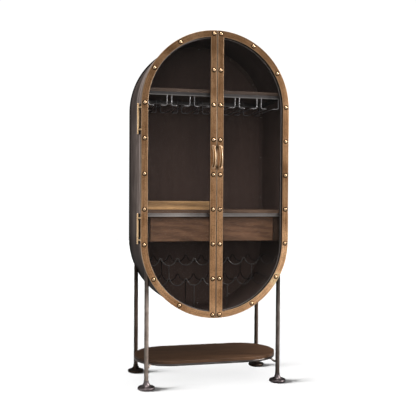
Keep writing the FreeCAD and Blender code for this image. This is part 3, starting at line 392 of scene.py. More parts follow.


# Shelf rails: rolled angle irons under the front and rear edge of each board, their ends cut to the
# barrel and welded to it. They are brushed along their length, with a painted highlight on the lower lip,
# and the main shelf's front rail has a painted patch of light.

def rounded_path(corners, bend, closed=False, steps=6):
    """Straight runs joined by arcs. At each corner an arc of the bend radius touches both runs, and its
    points are blends of its first and last spoke by the sines of the shares of its turn."""
    corners = np.asarray(corners, float)
    chain = np.concatenate([corners[-1:], corners, corners[:1]]) if closed else corners
    middle = chain[1:-1]
    back, on = chain[:-2] - middle, chain[2:] - middle
    back /= np.linalg.norm(back, axis=1, keepdims=True)
    on /= np.linalg.norm(on, axis=1, keepdims=True)
    half = np.arccos((back * on).sum(1, keepdims=True)) / 2
    bisector = (back + on) / np.linalg.norm(back + on, axis=1, keepdims=True)
    centre = middle + bisector * bend / np.sin(half)
    first = middle + back * bend / np.tan(half) - centre
    last = middle + on * bend / np.tan(half) - centre
    turn = np.pi - 2 * half
    share = np.linspace(0, 1, steps)
    leaving, coming = np.sin((1 - share) * turn)[..., None], np.sin(share * turn)[..., None]
    spokes = leaving * first[:, None] + coming * last[:, None]
    points = (centre[:, None] + spokes / np.sin(turn)[..., None]).reshape(-1, 3)
    return points if closed else np.concatenate([chain[:1], points, chain[-1:]])


def barrel_half_width(z, radius):
    """Half the barrel's width at a height: the root of radius squared less the squared rise past a spring
    line."""
    past = np.maximum(np.maximum(z - SPRING_TOP, SPRING_BOTTOM - z), 0)
    return np.sqrt(radius ** 2 - past ** 2)


RAIL_WALL = 0.003
RAIL_LEG = 0.020
RAIL_LIP = 0.021
RAIL_EDGE = 0.0007
WELD_GAP = 0.0002
BOARD_ABOVE_RAIL = 0.020
RAIL_LIGHT_X = -0.25
RAIL_LIGHT_DROP = 0.03
RAIL_LIGHT_REACH = 0.20
RAIL_LIGHT_TINT = (1.75, 1.75, 1.75, 1)


def rail_metal(name, deep, bare, lip_highlight, highlit=None):
    """Rolled steel, brushed along its length. The lower lip, told by the drop from the rail's top, gets a
    painted highlight, and there may be a painted patch of light round one place."""
    finish = Finish(name, Metallic=1.0)
    lines, colour = finish.brushed(deep, bare, "UV", (4, 700, 1))
    lit_lip = finish.span(finish.stored("drop"), 0, 1, 0.6 * RAIL_LIP, 0.85 * RAIL_LIP)
    colour = finish.mix(lit_lip, colour, lip_highlight)
    if highlit:
        colour = finish.tint(colour, RAIL_LIGHT_TINT, finish.patch(highlit, RAIL_LIGHT_REACH))
    return finish.wear(colour, finish.span(lines, 0.26, 0.44), lines, 0.00006)


main_low, main_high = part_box("main_shelf")
# Painted light: a brighter patch on the main shelf's front rail.
lit_place = (RAIL_LIGHT_X, main_low.y, main_high.z - RAIL_LIGHT_DROP)
dark_rail = rail_metal("dark_rail", (0.060, 0.055, 0.054), (0.180, 0.166, 0.162), (0.30, 0.280, 0.272, 1))
rail_steel = rail_metal("rail_steel", (0.17, 0.149, 0.140), (0.43, 0.383, 0.361), (0.46, 0.415, 0.39, 1),
                        lit_place)
rails = []
for board in ("upper_shelf", "main_shelf"):
    low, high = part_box(board)
    base = high.z - BOARD_ABOVE_RAIL
    for edge, back in ((low.y, 1), (high.y, -1)):
        steps = ((0, 0), (RAIL_LEG, 0), (RAIL_LEG, -RAIL_WALL), (RAIL_WALL, -RAIL_WALL),
                 (RAIL_WALL, -RAIL_LIP), (0, -RAIL_LIP))
        loop = rounded_path([(0, edge + back * dy, base + dz) for dy, dz in steps], RAIL_EDGE, closed=True)
        ends = np.stack([loop, loop])
        ends[:, :, 0] = np.outer((-1, 1), barrel_half_width(loop[:, 2], SHELL_INNER) - WELD_GAP)
        rails.append(surface(ends))
irons = make_piece("shelf_rail_irons", rails, dark_rail, "cabinet", "shelf_steel", "shelf_rails")
mark(irons, "drop", np.concatenate([skin[0][:, 2].max() - skin[0][:, 2] for skin in rails]))
second_finish(irons, rail_steel, np.repeat([0, 1], len(irons.data.polygons) // 2))


# Stemware rack: two bent steel wires to each channel, scuffed bright and welded under the upper shelf.
# Their straight runs leave a slot between them from front to rear.

def tube(path, radius, sideways, sides=14):
    """A round bar along a path. Each ring is the radius times cosine and sine on two axes square to the
    path: the cross product of its tangent with one fixed direction, and that product's own with the
    tangent."""
    tangent = np.gradient(path, axis=0)
    tangent /= np.linalg.norm(tangent, axis=1, keepdims=True)
    right = np.cross(tangent, sideways)
    right /= np.linalg.norm(right, axis=1, keepdims=True)
    up = np.cross(right, tangent)
    turn = np.linspace(0, 2 * np.pi, sides, endpoint=False)[:, None]
    return path[:, None] + radius * (np.cos(turn) * right[:, None] + np.sin(turn) * up[:, None])


STEM_WIRE = 0.00325
STEM_SLOT = 0.041
STEM_BEND = 0.011
finish = Finish("bright_wire", Metallic=0.6)
scuffs = finish.noise(finish.place("Object", (40, 40, 40)), 1.0, 4.0)
colour = finish.ramp(scuffs, (0.3, (0.150, 0.143, 0.143)), (0.7, (0.220, 0.210, 0.210)))
bright_wire = finish.wear(colour, finish.span(scuffs, 0.26, 0.42), scuffs, 0.00005)
for name in sorted(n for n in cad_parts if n.startswith("stemware_rack")):
    low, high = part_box(name)
    middle = (low.x + high.x) / 2
    post = high.x - STEM_WIRE - middle
    rail_z = low.z + STEM_WIRE
    front, rear = low.y + STEM_WIRE, high.y - STEM_WIRE
    wires = []
    for side in (-1, 1):
        outer, inner = middle + side * post, middle + side * STEM_SLOT / 2
        route = [(outer, front, high.z - RAIL_WALL), (outer, front, rail_z), (inner, front, rail_z),
                 (inner, rear, rail_z), (outer, rear, rail_z), (outer, rear, high.z)]
        wires.append(surface(tube(rounded_path(route, STEM_BEND), STEM_WIRE, (1, 1, 1))))
    make_piece(name.replace("rack", "wires"), wires, bright_wire, "cabinet", "wire_steel", name)


# Serving board: a thick board of light oiled wood, its grain from side to side. It lies loose on the left
# half of the main shelf.

board_wood = wood("serving_board_wood", (0.130, 0.070, 0.029), (0.370, 0.214, 0.093), "x", figure=1.3)
dress(board_wood, "serving_board")


# Drawers: walnut fronts with a finger cove behind the lower edge, on plain stained boxes that run on bars
# in steel channels. The case panels between them hang from the main shelf.

walnut = wood("walnut", (0.034, 0.0162, 0.0086), (0.160, 0.080, 0.0430), "x", gloss=0.42, figure=1.4,
              swirl=0.16, squeeze=0.16)
# The case panels' wood is stained near black, which also stands in as painted shade on the case beside the
# drawers.
shaded_case_wood = wood("shaded_case_wood", (0.010, 0.0056, 0.0036), (0.044, 0.025, 0.0160), "z")
drawer_wood = wood("drawer_wood", (0.060, 0.038, 0.026), (0.150, 0.100, 0.068), "y")
for hand in ("left", "right"):
    dress(walnut, f"{hand}_drawer_front")
    dress(drawer_wood, f"{hand}_drawer_box")
dress(shaded_case_wood, "drawer_case")


# Wine rack: two tiers of scalloped wire, front and rear, in satin steel that is dark in front and still
# darker behind. Struts carry the upper tier on the lower and the lower on the barrel's floor, and
# straight ties join the rows.

WINE_WIRE = 0.003
WINE_PITCH = 0.106
WINE_DEPTH = 0.042
WINE_PEAK = 0.008
WINE_TIER_DROP = 0.124
UPPER_CELLS = 8
LOWER_CELLS = 7
UPPER_STRUT_PITCHES = 2.5
LOWER_STRUT_PITCHES = 1
PEAK_STEPS = 6
HOLLOW_STEPS = 23
dark_wire = brushed_steel("dark_wire", (0.060, 0.053, 0.050), (0.160, 0.145, 0.138), 0.42,
                          "Object", (40, 40, 40))
darkest_wire = brushed_steel("darkest_wire", (0.022, 0.018, 0.016), (0.060, 0.050, 0.046), 0.6,
                           "Object", (40, 40, 40))


def scallops(cells, reach, y, trough):
    """A wire of round hollows that meet in tight peaks. In each cell the point lies on the left peak's
    arc, the hollow's arc and the right peak's arc in turn, each its radius times the sine across and 1 -
    cosine down or up."""
    half = WINE_PITCH / 2
    slope = 2 * np.arctan(WINE_DEPTH / half)
    hollow = half / np.sin(slope) - WINE_PEAK
    rise = np.linspace(0, slope, PEAK_STEPS)[:-1]
    dip = np.linspace(-slope, slope, HOLLOW_STEPS)
    fall = np.linspace(-slope, 0, PEAK_STEPS)[1:-1]
    x = np.concatenate([WINE_PEAK * np.sin(rise) - half, hollow * np.sin(dip),
                        WINE_PEAK * np.sin(fall) + half])
    z = np.concatenate([WINE_DEPTH - WINE_PEAK * (1 - np.cos(rise)), hollow * (1 - np.cos(dip)),
                        WINE_DEPTH - WINE_PEAK * (1 - np.cos(fall))])
    middles = (np.arange(cells) - (cells - 1) / 2) * WINE_PITCH
    x = np.concatenate([[-reach], (middles[:, None] + x).ravel(), [cells * half, reach]])
    z = trough + np.concatenate([[WINE_DEPTH], np.tile(z, cells), [WINE_DEPTH, WINE_DEPTH]])
    return np.stack([x, np.full(len(x), y), z], 1)


def strut(x, y, bottom, top):
    """A short upright wire between two heights."""
    return surface(tube(np.array([(x, y, bottom), (x, y, top)]), WINE_WIRE, (0, 1, 0)))


for row, steel in (("front", dark_wire), ("rear", darkest_wire)):
    upper, lower = f"wine_rack_{row}_upper", f"wine_rack_{row}_lower"
    low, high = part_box(upper)
    y = (low.y + high.y) / 2
    trough = low.z + WINE_WIRE
    wire = tube(scallops(UPPER_CELLS, high.x, y, trough), WINE_WIRE, (0, 1, 0))
    make_piece(f"bottle_wire_{row}_upper", [surface(wire)], steel, "cabinet", "wire_steel", upper)
    low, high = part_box(lower)
    lower_trough = trough - WINE_TIER_DROP
    skins = [surface(tube(scallops(LOWER_CELLS, high.x, y, lower_trough), WINE_WIRE, (0, 1, 0)))]
    for side in (-1, 1):
        skins.append(strut(side * UPPER_STRUT_PITCHES * WINE_PITCH, y, lower_trough + WINE_DEPTH, high.z))
        skins.append(strut(side * LOWER_STRUT_PITCHES * WINE_PITCH, y, low.z, lower_trough))
    make_piece(f"bottle_wire_{row}_lower", skins, steel, "cabinet", "wire_steel", lower)
dress(darkest_wire, "wine_rack_ties")


# Hinges: brass butt hinges polished by use. A leaf is screwed to the barrel's side over a black backing
# plate, and a pin with ball finials runs through its knuckle and through two short ones whose arms reach
# round to the door's edge. The plates and the leaves' inner parts are near black, partly a dark finish
# and partly painted shade in the gap between pin and door.

HINGE_SPREAD = 0.652
LEAF_STANDOFF = 0.0095
LEAF_FADE = 0.001
LEAF_X = SHELL_RADIUS + LEAF_STANDOFF
PLATE_DEPTH = 0.083
PLATE_HEIGHT = 0.180
PLATE_CORNER = 0.006
PLATE_THICKNESS = 0.0008
MIDDLE_Z = (SPRING_TOP + SPRING_BOTTOM) / 2


def hinge_metal(name, shade_inboard):
    """Brass, polished by hands. On the leaves all that lies inboard of the knuckles is painted nearly black,
    partly a dark finish and partly painted shade in the gap behind the pin."""
    finish = Finish(name, Metallic=0.65)
    lines = finish.noise(finish.place("Object", (260, 260, 16)), 1.0, 3.0)
    cloud = finish.noise(finish.place(), 40.0, 3.0)
    tone = finish.mix(0.5, lines, cloud)
    colour = finish.ramp(tone, (0.3, (0.66, 0.41, 0.20)), (0.7, (0.98, 0.72, 0.44)))
    if shade_inboard:
        off_middle = finish.reckon("ABSOLUTE", finish.along("X"))
        leaf_shade = finish.span(off_middle, 0, 1, LEAF_X + LEAF_FADE, LEAF_X)
        colour = finish.mix(leaf_shade, colour, (0.012, 0.009, 0.007, 1))
    return finish.wear(colour, finish.span(lines, 0.18, 0.32), lines, 0.00003)


hinge_brass = hinge_metal("hinge_brass", shade_inboard=False)
dress(hinge_brass, "hinge_pins", "hinge_screws", "left_hinge_knuckles", "right_hinge_knuckles")
dress(hinge_metal("leaf_brass", shade_inboard=True), "hinge_leaves")

along, up = rounded_section(PLATE_DEPTH, PLATE_HEIGHT, PLATE_CORNER)
plates = []
for side in (-1, 1):
    for z in (MIDDLE_Z - HINGE_SPREAD / 2, MIDDLE_Z + HINGE_SPREAD / 2):
        edge = [side_low.y + along, z - PLATE_HEIGHT / 2 + up]
        faces = [np.stack(np.broadcast_arrays(side * (SHELL_RADIUS + lift), *edge), 1)
                 for lift in (0, PLATE_THICKNESS)]
        plates.append(surface(np.stack(faces)))
make_piece("hinge_backing_plates", plates, black_lacquer, "cabinet", "frame_steel")


# Door frames: a blackened steel frame carries the pane in a rebate, held from behind by a thin bead.
# Round the outside its edge is brassed to match the face.

RIM_DEPTH = 0.002
core_low, core_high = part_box("right_door_core")
DOOR_RADIUS = core_high.x
finish = Finish("door_frame", Metallic=0.8)
lines = finish.noise(finish.place("Object", (60, 60, 60)), 1.0, 4.0)
colour = finish.ramp(lines, (0.3, (0.022, 0.020, 0.019)), (0.7, (0.075, 0.068, 0.064)))
brassed = finish.ramp(lines, (0.3, (0.34, 0.22, 0.13)), (0.7, (0.72, 0.55, 0.39)))
over = finish.reckon("SUBTRACT", finish.along("Z"), SPRING_TOP)
below = finish.reckon("SUBTRACT", SPRING_BOTTOM, finish.along("Z"))
past = finish.reckon("MAXIMUM", finish.reckon("MAXIMUM", over, below), 0.0)
spoke = finish.node("CombineXYZ", {"X": finish.along("X"), "Y": past})
spoke = finish.node("VectorMath", {0: spoke}, "Value", operation="LENGTH")
rim = finish.span(spoke, 0, 1, DOOR_RADIUS - RIM_DEPTH, DOOR_RADIUS - RIM_DEPTH / 2)
colour = finish.mix(rim, colour, brassed)
door_frame = finish.wear(colour, finish.span(lines, 0.38, 0.55), lines, 0.00006)
for hand in ("left", "right"):
    dress(door_frame, f"{hand}_door_core")
    dress(black_plate, f"{hand}_glass_bead")


# Door faces: strips of antique brass laid over the steel frames, mitred at the ends of the meeting stile.
# They are brushed along their length and speckled with age, dull in one patch, and carry painted light:
# highlights at both edges, along the seam and in a patch low on the right, light that grows toward the
# bottom and the right, and painted shadow round the handles' ends.

def door_outline(side, inset):
    """One door's outline drawn in by an inset: its arcs have the door radius less the inset, and end
    where they meet the meeting stile, at the angle whose cosine is the stile's distance over that radius.
    Rows follow the outline."""
    radius = DOOR_RADIUS - inset
    stile = MEETING_GAP / 2 + inset
    turn = np.outer(np.linspace(0, 1, DOOR_ARC_STEPS), np.arccos(stile / radius))
    x = radius * np.cos(turn)
    rise = radius * np.sin(turn)
    z = np.concatenate([SPRING_TOP + rise, SPRING_BOTTOM - rise[::-1]])
    return side * np.concatenate([x, x[::-1]]), z


MEETING_GAP = 2 * core_low.x
FACE_BORDER = 0.038
FACE_THICKNESS = 0.004
FACE_EDGE = 0.0012
DOOR_ARC_STEPS = 81
LIGHT_SLOPE = (0.065, 0, -0.62)
LIGHT_AT_MIDDLE = 1.11
SEAM_CORE = 0.0015
SEAM_REACH = 0.0055
SEAM_GLINT = 0.6
FACE_Y = core_low.y - FACE_THICKNESS
PAD_RADIUS = 0.013
GRIP_REACH = 0.026
GRIP_SHADE = (0.12, 0.09, 0.06)
handle_low, handle_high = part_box("right_handle")
LIT_PATCH = ((0.40, FACE_Y, MIDDLE_Z - 0.60), 0.36, (1.80, 1.95, 2.15))
DULL_PATCH = ((DOOR_RADIUS, FACE_Y, MIDDLE_Z - 0.03), 0.32, (0.61, 0.59, 0.57))
PATCHES = [LIT_PATCH, DULL_PATCH,
           ((0, FACE_Y, handle_low.z + PAD_RADIUS), GRIP_REACH, GRIP_SHADE),
           ((0, FACE_Y, handle_high.z - PAD_RADIUS), GRIP_REACH, GRIP_SHADE)]
across, depth = rounded_section(FACE_BORDER, FACE_THICKNESS, FACE_EDGE)

finish = Finish("antique_brass", Metallic=1.0)
lines = finish.noise(finish.place("UV", (9, 1500, 1)), 1.0, 4.0)
broad = finish.noise(finish.place("UV", (4.0, 110, 1)), 1.0, 5.0, 0.3)
cloud = finish.noise(finish.place(), 9.0, 4.0, 0.5)
specks = finish.noise(finish.place(), 240.0, 2.0)
tone = finish.mix(0.4, finish.mix(0.6, lines, broad), cloud)
colour = finish.ramp(tone, (0.34, (0.17, 0.080, 0.034)), (0.50, (0.38, 0.205, 0.100)),
                     (0.66, (0.62, 0.370, 0.200)))
colour = finish.tint(colour, finish.ramp(specks, (0.30, 0.30), (0.48, 1.0)), 0.8)
# Painted light: the colour brightens toward the bottom and toward the right.
light_fade = finish.node("VectorMath", {0: finish.place(), 1: LIGHT_SLOPE}, "Value", operation="DOT_PRODUCT")
colour = finish.tint(colour, finish.reckon("ADD", light_fade, LIGHT_AT_MIDDLE - LIGHT_SLOPE[2] * MIDDLE_Z))
# Painted highlights along both edges of each strip.
edge = finish.span(finish.stored("inset"), 0, 1, 0, FACE_BORDER)
highlit = finish.ramp(edge, (0.02, 0.5), (0.07, 0.0), (0.93, 0.0), (0.99, 0.6))
colour = finish.mix(highlit, colour, (0.72, 0.50, 0.32, 1))
# Painted highlight along the seam of the meeting stiles.
from_seam = finish.reckon("ABSOLUTE", finish.along("X"))
seam_glint = finish.span(from_seam, 0, SEAM_GLINT, SEAM_REACH, SEAM_CORE)
colour = finish.mix(seam_glint, colour, (0.62, 0.50, 0.38, 1))
# Patches: painted light low on the right, a dull patch, and painted shadow round the handles' ends.
for place, reach, tint in PATCHES:
    colour = finish.tint(colour, (*tint, 1), finish.patch(place, reach))
antique_brass = finish.wear(colour, finish.span(lines, 0.34, 0.52), lines, 0.00008)

for hand, side in (("left", -1), ("right", 1)):
    x, z = door_outline(side, across)
    skin = surface(np.stack(np.broadcast_arrays(x, FACE_Y + depth, z), 2), closed=True)
    border = make_piece(f"{hand}_brass_border", [skin], antique_brass, f"{hand}_door", "antique_brass",
                        f"{hand}_door_face")
    mark(border, "inset", across)


# Rivets: dome heads of bright brass along every strip, each on a thin washer. The washer and the foot of
# each dome are darker than its polished top, partly dirt and partly painted shade round the base.

def turned(profile, centre, axis, sides=32):
    """A turned form: each radius of the profile goes round the axis at its height along it from the
    centre."""
    radius, height = (np.array(values, float)[:, None, None] for values in zip(*profile))
    axis = np.array(axis, float)
    right = np.roll(axis, 1)
    turn = np.linspace(0, 2 * np.pi, sides, endpoint=False)[:, None]
    spoke = np.cos(turn) * right + np.sin(turn) * np.cross(axis, right)
    return np.array(centre) + axis * height + radius * spoke


def dome(radius, height, lift, steps=9, tip=0.04):
    """Half an outline of a dome: radius times the cosine across and height times the sine up, from its
    rim to a tip that is left a small share wide."""
    angle = np.linspace(0, np.arccos(tip), steps)
    return list(zip(radius * np.cos(angle), lift + height * np.sin(angle)))


RIVET_RADIUS = 0.0103
RIVET_HEIGHT = 0.0075
COLLAR_RADIUS = 0.0146
COLLAR_HEIGHT = 0.0004
STILE_RIVETS = 5
MEETING_RIVETS = 7
RIVET_PITCH = 0.2092
ARC_RIVET_ANGLES = (29.5, 58.9)
BORDER_MIDDLE = DOOR_RADIUS - FACE_BORDER / 2
STILE_X = (MEETING_GAP + FACE_BORDER) / 2

finish = Finish("rivet_brass", Metallic=1.0)
cloud = finish.noise(finish.place(), 120.0, 3.0)
scuffs = finish.noise(finish.place(), 900.0, 2.0)
profile = finish.node("SeparateXYZ", {"Vector": finish.place("UV", (100, 1, 1))})
# Darker toward the foot of the dome and on the washer: partly dirt, partly painted shade.
dirt_and_shade = finish.ramp(profile, (0.40, 0.07), (0.52, 0.35), (0.80, 1.0))
colour = finish.ramp(cloud, (0.3, (0.56, 0.345, 0.185)), (0.7, (0.86, 0.60, 0.37)))
colour = finish.tint(colour, dirt_and_shade)
rivet_brass = finish.wear(colour, finish.span(scuffs, 0.16, 0.28), scuffs, 0.00003)

collar = [(COLLAR_RADIUS, 0.0), (COLLAR_RADIUS, COLLAR_HEIGHT)]
head = collar + dome(RIVET_RADIUS, RIVET_HEIGHT, COLLAR_HEIGHT)
angles = np.radians(np.append(ARC_RIVET_ANGLES, np.degrees(np.arccos(STILE_X / BORDER_MIDDLE))))
arc_x, arc_rise = BORDER_MIDDLE * np.cos(angles), BORDER_MIDDLE * np.sin(angles)
stile_z = MIDDLE_Z + (np.arange(STILE_RIVETS) - (STILE_RIVETS - 1) / 2) * RIVET_PITCH
meeting_z = MIDDLE_Z + (np.arange(MEETING_RIVETS) - (MEETING_RIVETS - 1) / 2) * RIVET_PITCH
rivet_x = np.repeat([BORDER_MIDDLE, STILE_X], [STILE_RIVETS, MEETING_RIVETS])
rivet_x = np.concatenate([rivet_x, arc_x, arc_x])
rivet_z = np.concatenate([stile_z, meeting_z, SPRING_TOP + arc_rise, SPRING_BOTTOM - arc_rise])
for hand, side in (("left", -1), ("right", 1)):
    heads = [surface(turned(head, (side * x, FACE_Y, z), (0, -1, 0))) for x, z in zip(rivet_x, rivet_z)]
    make_piece(f"{hand}_rivet_heads", heads, rivet_brass, f"{hand}_door", "bright_brass",
               f"{hand}_door_rivets")


# Handles: bow straps of brass with softly hollowed fronts, bright at both edges round a dark hollow. The
# hollow's dark is partly patina and partly painted shade, shifted over the left edge, and painted shade
# darkens the strap toward both ends. Each springs from two round pads, with studs through the meeting stile.

HANDLE_WIDTH = 0.017
HANDLE_THICKNESS = 0.008
HANDLE_HOLLOW = 0.0005
HANDLE_LIP = 0.85
HANDLE_SHADE_SHIFT = 0.15
PAD_HEIGHT = 0.004
BOW_STEPS = 41
STRAP_SIDES = 56
finish = Finish("handle_brass", Metallic=0.6)
lines = finish.noise(finish.place("Object", (500, 500, 18)), 1.0, 3.0)
cloud = finish.noise(finish.place(), 40.0, 3.0)
tone = finish.mix(0.5, lines, cloud)
colour = finish.ramp(tone, (0.3, (0.74, 0.55, 0.35)), (0.7, (0.96, 0.77, 0.53)))
hollow = finish.stored("hollow")
# The hollow's dark: partly patina, partly painted shade.
colour = finish.mix(finish.ramp(hollow, (0.0, 0.0), (0.25, 1.0)), colour, (0.150, 0.066, 0.017, 1))
# Painted shade toward both ends of the strap.
end_shade = finish.ramp(finish.stored("end_shade"), (0.35, 0.0), (0.95, 0.85))
colour = finish.mix(end_shade, colour, (0.085, 0.042, 0.016, 1))
handle_brass = finish.wear(colour, finish.ramp(hollow, (0.0, 0.38), (0.2, 0.55)), lines, 0.00003)


def bow(x, low, high, crest):
    """A strap along an arc from pad to pad. Its section is a rounded oblong, cosine across and the root
    of one less its fourth power out. The front is let in between two lips by a hollow, the square of one
    less the squared distance from its middle, moved to the left so that its dark colour is painted shade
    on the left lip. The hollow's share comes with it, and the share of painted shade, which gathers toward
    both ends as the fourth power of the way along."""
    middle, half = (low + high) / 2, (high - low) / 2
    sag = FACE_Y - crest
    radius = (half ** 2 + sag ** 2) / (2 * sag)
    along = np.linspace(-1, 1, BOW_STEPS)
    turn = along[:, None] * np.arcsin(half / radius)
    around = np.linspace(0, 2 * np.pi, STRAP_SIDES, endpoint=False)
    share = np.cos(around)
    hollow = np.maximum(1 - ((share + HANDLE_SHADE_SHIFT) / HANDLE_LIP) ** 2, 0) ** 2 * (np.sin(around) > 0)
    out = np.sign(np.sin(around)) * HANDLE_THICKNESS / 2 * np.sqrt(1 - np.minimum(share ** 4, 1))
    reach = radius + out - HANDLE_HOLLOW * hollow
    rings = [x + HANDLE_WIDTH / 2 * share, crest + radius - reach * np.cos(turn),
             middle + reach * np.sin(turn)]
    rings = np.stack(np.broadcast_arrays(*rings), 2)
    return rings, np.tile(hollow, BOW_STEPS), np.repeat(along ** 4, STRAP_SIDES)


pad = [(PAD_RADIUS, 0.0)] + dome(PAD_RADIUS, PAD_HEIGHT, PAD_HEIGHT / 3)
for hand in ("left", "right"):
    low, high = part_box(f"{hand}_handle")
    x = (low.x + high.x) / 2
    ends = (low.z + PAD_RADIUS, high.z - PAD_RADIUS)
    strap, hollow, end_shade = bow(x, *ends, low.y + HANDLE_THICKNESS / 2)
    pads = [turned(pad, (x, FACE_Y, z), (0, -1, 0)) for z in ends]
    handle = make_piece(f"{hand}_bow_handle", [surface(rings) for rings in (strap, *pads)], handle_brass,
                        f"{hand}_door", "bright_brass", f"{hand}_handle")
    strap_faces = (BOW_STEPS - 1) * STRAP_SIDES + 2
    second_finish(handle, antique_brass, np.arange(len(handle.data.polygons)) >= strap_faces)
    plain = np.zeros(sum(rings[..., 0].size for rings in pads))
    mark(handle, "hollow", np.concatenate([hollow, plain]))
    mark(handle, "end_shade", np.concatenate([end_shade, plain]))


# Panes: clear float glass with a film of dust, let into the rebates of the steel frames behind the brass
# faces. A thin bead holds each one from behind.

finish = Finish("pane_glass", Roughness=0.03, IOR=1.45, Alpha=0.06, Specular_IOR_Level=0.15)
dust = finish.noise(finish.place(), 3.0, 5.0)
colour = finish.ramp(dust, (0.3, (0.010, 0.010, 0.010)), (0.8, (0.022, 0.021, 0.020)))
finish.feed(finish.shader.inputs["Base Color"], colour)
pane_glass = finish.material
dress(pane_glass, "left_door_glass", "right_door_glass")


# Legs: round steel bars, ground and browned, socketed in the feet and cut at the top to the barrel's
# underside. Painted light falls on their right flanks and on the left-hand legs, painted shade on their
# left flanks and their tops under the barrel, and the rear legs are a darker copy, painted shade for the
# shade under the cabinet.

LEG_RADIUS = 0.013
LEG_SIDES = 40
LEG_SPAN = 0.4
LEG_SHADE_FROM = 0.49
LEG_SHADE_TO = 0.63


def browned_bar(name, deep, bare, roughness, left, right, lit_flanks=(1.0, 1.0), top=1.0):
    """Ground bar, browned: brush lines along it over clouds, with painted light that grows toward one side
    of the cabinet. A bar may also get painted light on one flank and painted shade on the other, and painted
    shade at its top."""
    finish = Finish(name, Metallic=1.0)
    lines, colour = finish.brushed(deep, bare, "Object", (90, 90, 7), clouds=16.0)
    colour = finish.tint(colour, finish.span(finish.along("X"), left, right, -LEG_SPAN, LEG_SPAN))
    colour = finish.tint(colour, finish.span(finish.stored("flank"), *lit_flanks, -1, 1))
    colour = finish.tint(colour, finish.span(finish.along("Z"), 1, top, LEG_SHADE_FROM, LEG_SHADE_TO))
    return finish.wear(colour, finish.span(lines, roughness - 0.09, roughness + 0.09), lines, 0.00006)


# Painted shade: the rear legs and rear feet take these darker colours.
SHADED_DEEP, SHADED_BARE = (0.026, 0.0165, 0.0115), (0.112, 0.080, 0.063)
leg_steel = browned_bar("leg_steel", (0.13, 0.096, 0.076), (0.56, 0.464, 0.404), 0.33, 1.4, 0.62,
                        lit_flanks=(0.35, 1.9), top=0.35)
shaded_rear_leg_steel = browned_bar("shaded_rear_leg_steel", SHADED_DEEP, SHADED_BARE, 0.40, 1.0, 0.9,
                             lit_flanks=(0.2, 4.4), top=0.35)
shaded_rear_foot_steel = browned_bar("shaded_rear_foot_steel", SHADED_DEEP, SHADED_BARE, 0.40, 1.0, 0.8)
flank = np.cos(np.linspace(0, 2 * np.pi, LEG_SIDES, endpoint=False))
leg_places = []
for row, steel in (("front", leg_steel), ("rear", shaded_rear_leg_steel)):
    low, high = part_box(f"{row}_legs")
    bars = []
    for side in (-1, 1):
        leg_places.append((side * (high.x - LEG_RADIUS), (low.y + high.y) / 2, 0))
        bar = turned([(LEG_RADIUS, low.z), (LEG_RADIUS, high.z)], leg_places[-1], (0, 0, 1), LEG_SIDES)
        bar[-1, :, 2] = SPRING_BOTTOM - np.sqrt((SHELL_RADIUS + WELD_GAP) ** 2 - bar[-1, :, 0] ** 2)
        bars.append(surface(bar))
    legs = make_piece(f"{row}_leg_bars", bars, steel, "cabinet", "leg_steel", f"{row}_legs")
    mark(legs, "flank", flank)


# Feet: turned steel trumpets, each a full-round disc that sweeps up into the leg's socket. They are
# ground like the legs, painted lighter toward the left, with the rear feet a darker copy that paints the
# shade under the cabinet, and stand on felt pads.

FOOT_RADIUS = 0.052
FOOT_BASE = 0.002
FOOT_DISC = 0.018
FOOT_ROUND = 0.008
FOOT_FLARE = 0.042
FOOT_TOP = 0.056
FOOT_NECK = 0.0146
FOOT_TIP = 0.001
FOOT_SIDES = 64
RIM_STEPS = 8
SWEEP_STEPS = 15
bend = np.linspace(-np.pi / 2, 0, RIM_STEPS)
disc_top = FOOT_BASE + FOOT_DISC
rim_radius = FOOT_RADIUS - FOOT_ROUND + FOOT_ROUND * np.cos(bend)
lower_rim = FOOT_BASE + FOOT_ROUND + FOOT_ROUND * np.sin(bend)
upper_rim = disc_top - FOOT_ROUND - FOOT_ROUND * np.sin(bend[::-1])
sweep = np.linspace(0, np.pi / 2, SWEEP_STEPS)
flare_radius = FOOT_FLARE - (FOOT_FLARE - FOOT_NECK) * np.sin(sweep)
flare_height = FOOT_TOP - (FOOT_TOP - disc_top) * np.cos(sweep)
foot = list(zip(np.concatenate([[FOOT_TIP], rim_radius, rim_radius[::-1], flare_radius, [LEG_RADIUS]]),
                np.concatenate([[FOOT_BASE], lower_rim, upper_rim, flare_height, [FOOT_TOP]])))
skins = [surface(turned(foot, place, (0, 0, 1), FOOT_SIDES)) for place in leg_places]
# Painted light toward the left; the rear feet take the darker shaded copy.
foot_steel = browned_bar("foot_steel", (0.070, 0.055, 0.056), (0.330, 0.277, 0.278), 0.40, 1.25, 0.85)
feet = make_piece("trumpet_feet", skins, foot_steel, "cabinet", "leg_steel", "feet")
second_finish(feet, shaded_rear_foot_steel, np.repeat([0, 1], len(feet.data.polygons) // 2))

finish = Finish("felt")
fibres = finish.noise(finish.place(), 900.0, 4.0)
colour = finish.ramp(fibres, (0.3, 0.01), (0.7, 0.035))
felt = finish.wear(colour, finish.span(fibres, 0.85, 1.0), fibres, 0.0004)
dress(felt, "foot_pads")


# Lower shelf: a stadium of brown stained wood on a bent steel ring, hung from the legs by four dipped
# brackets. Its wood is darkened toward the left end, a painted shade.

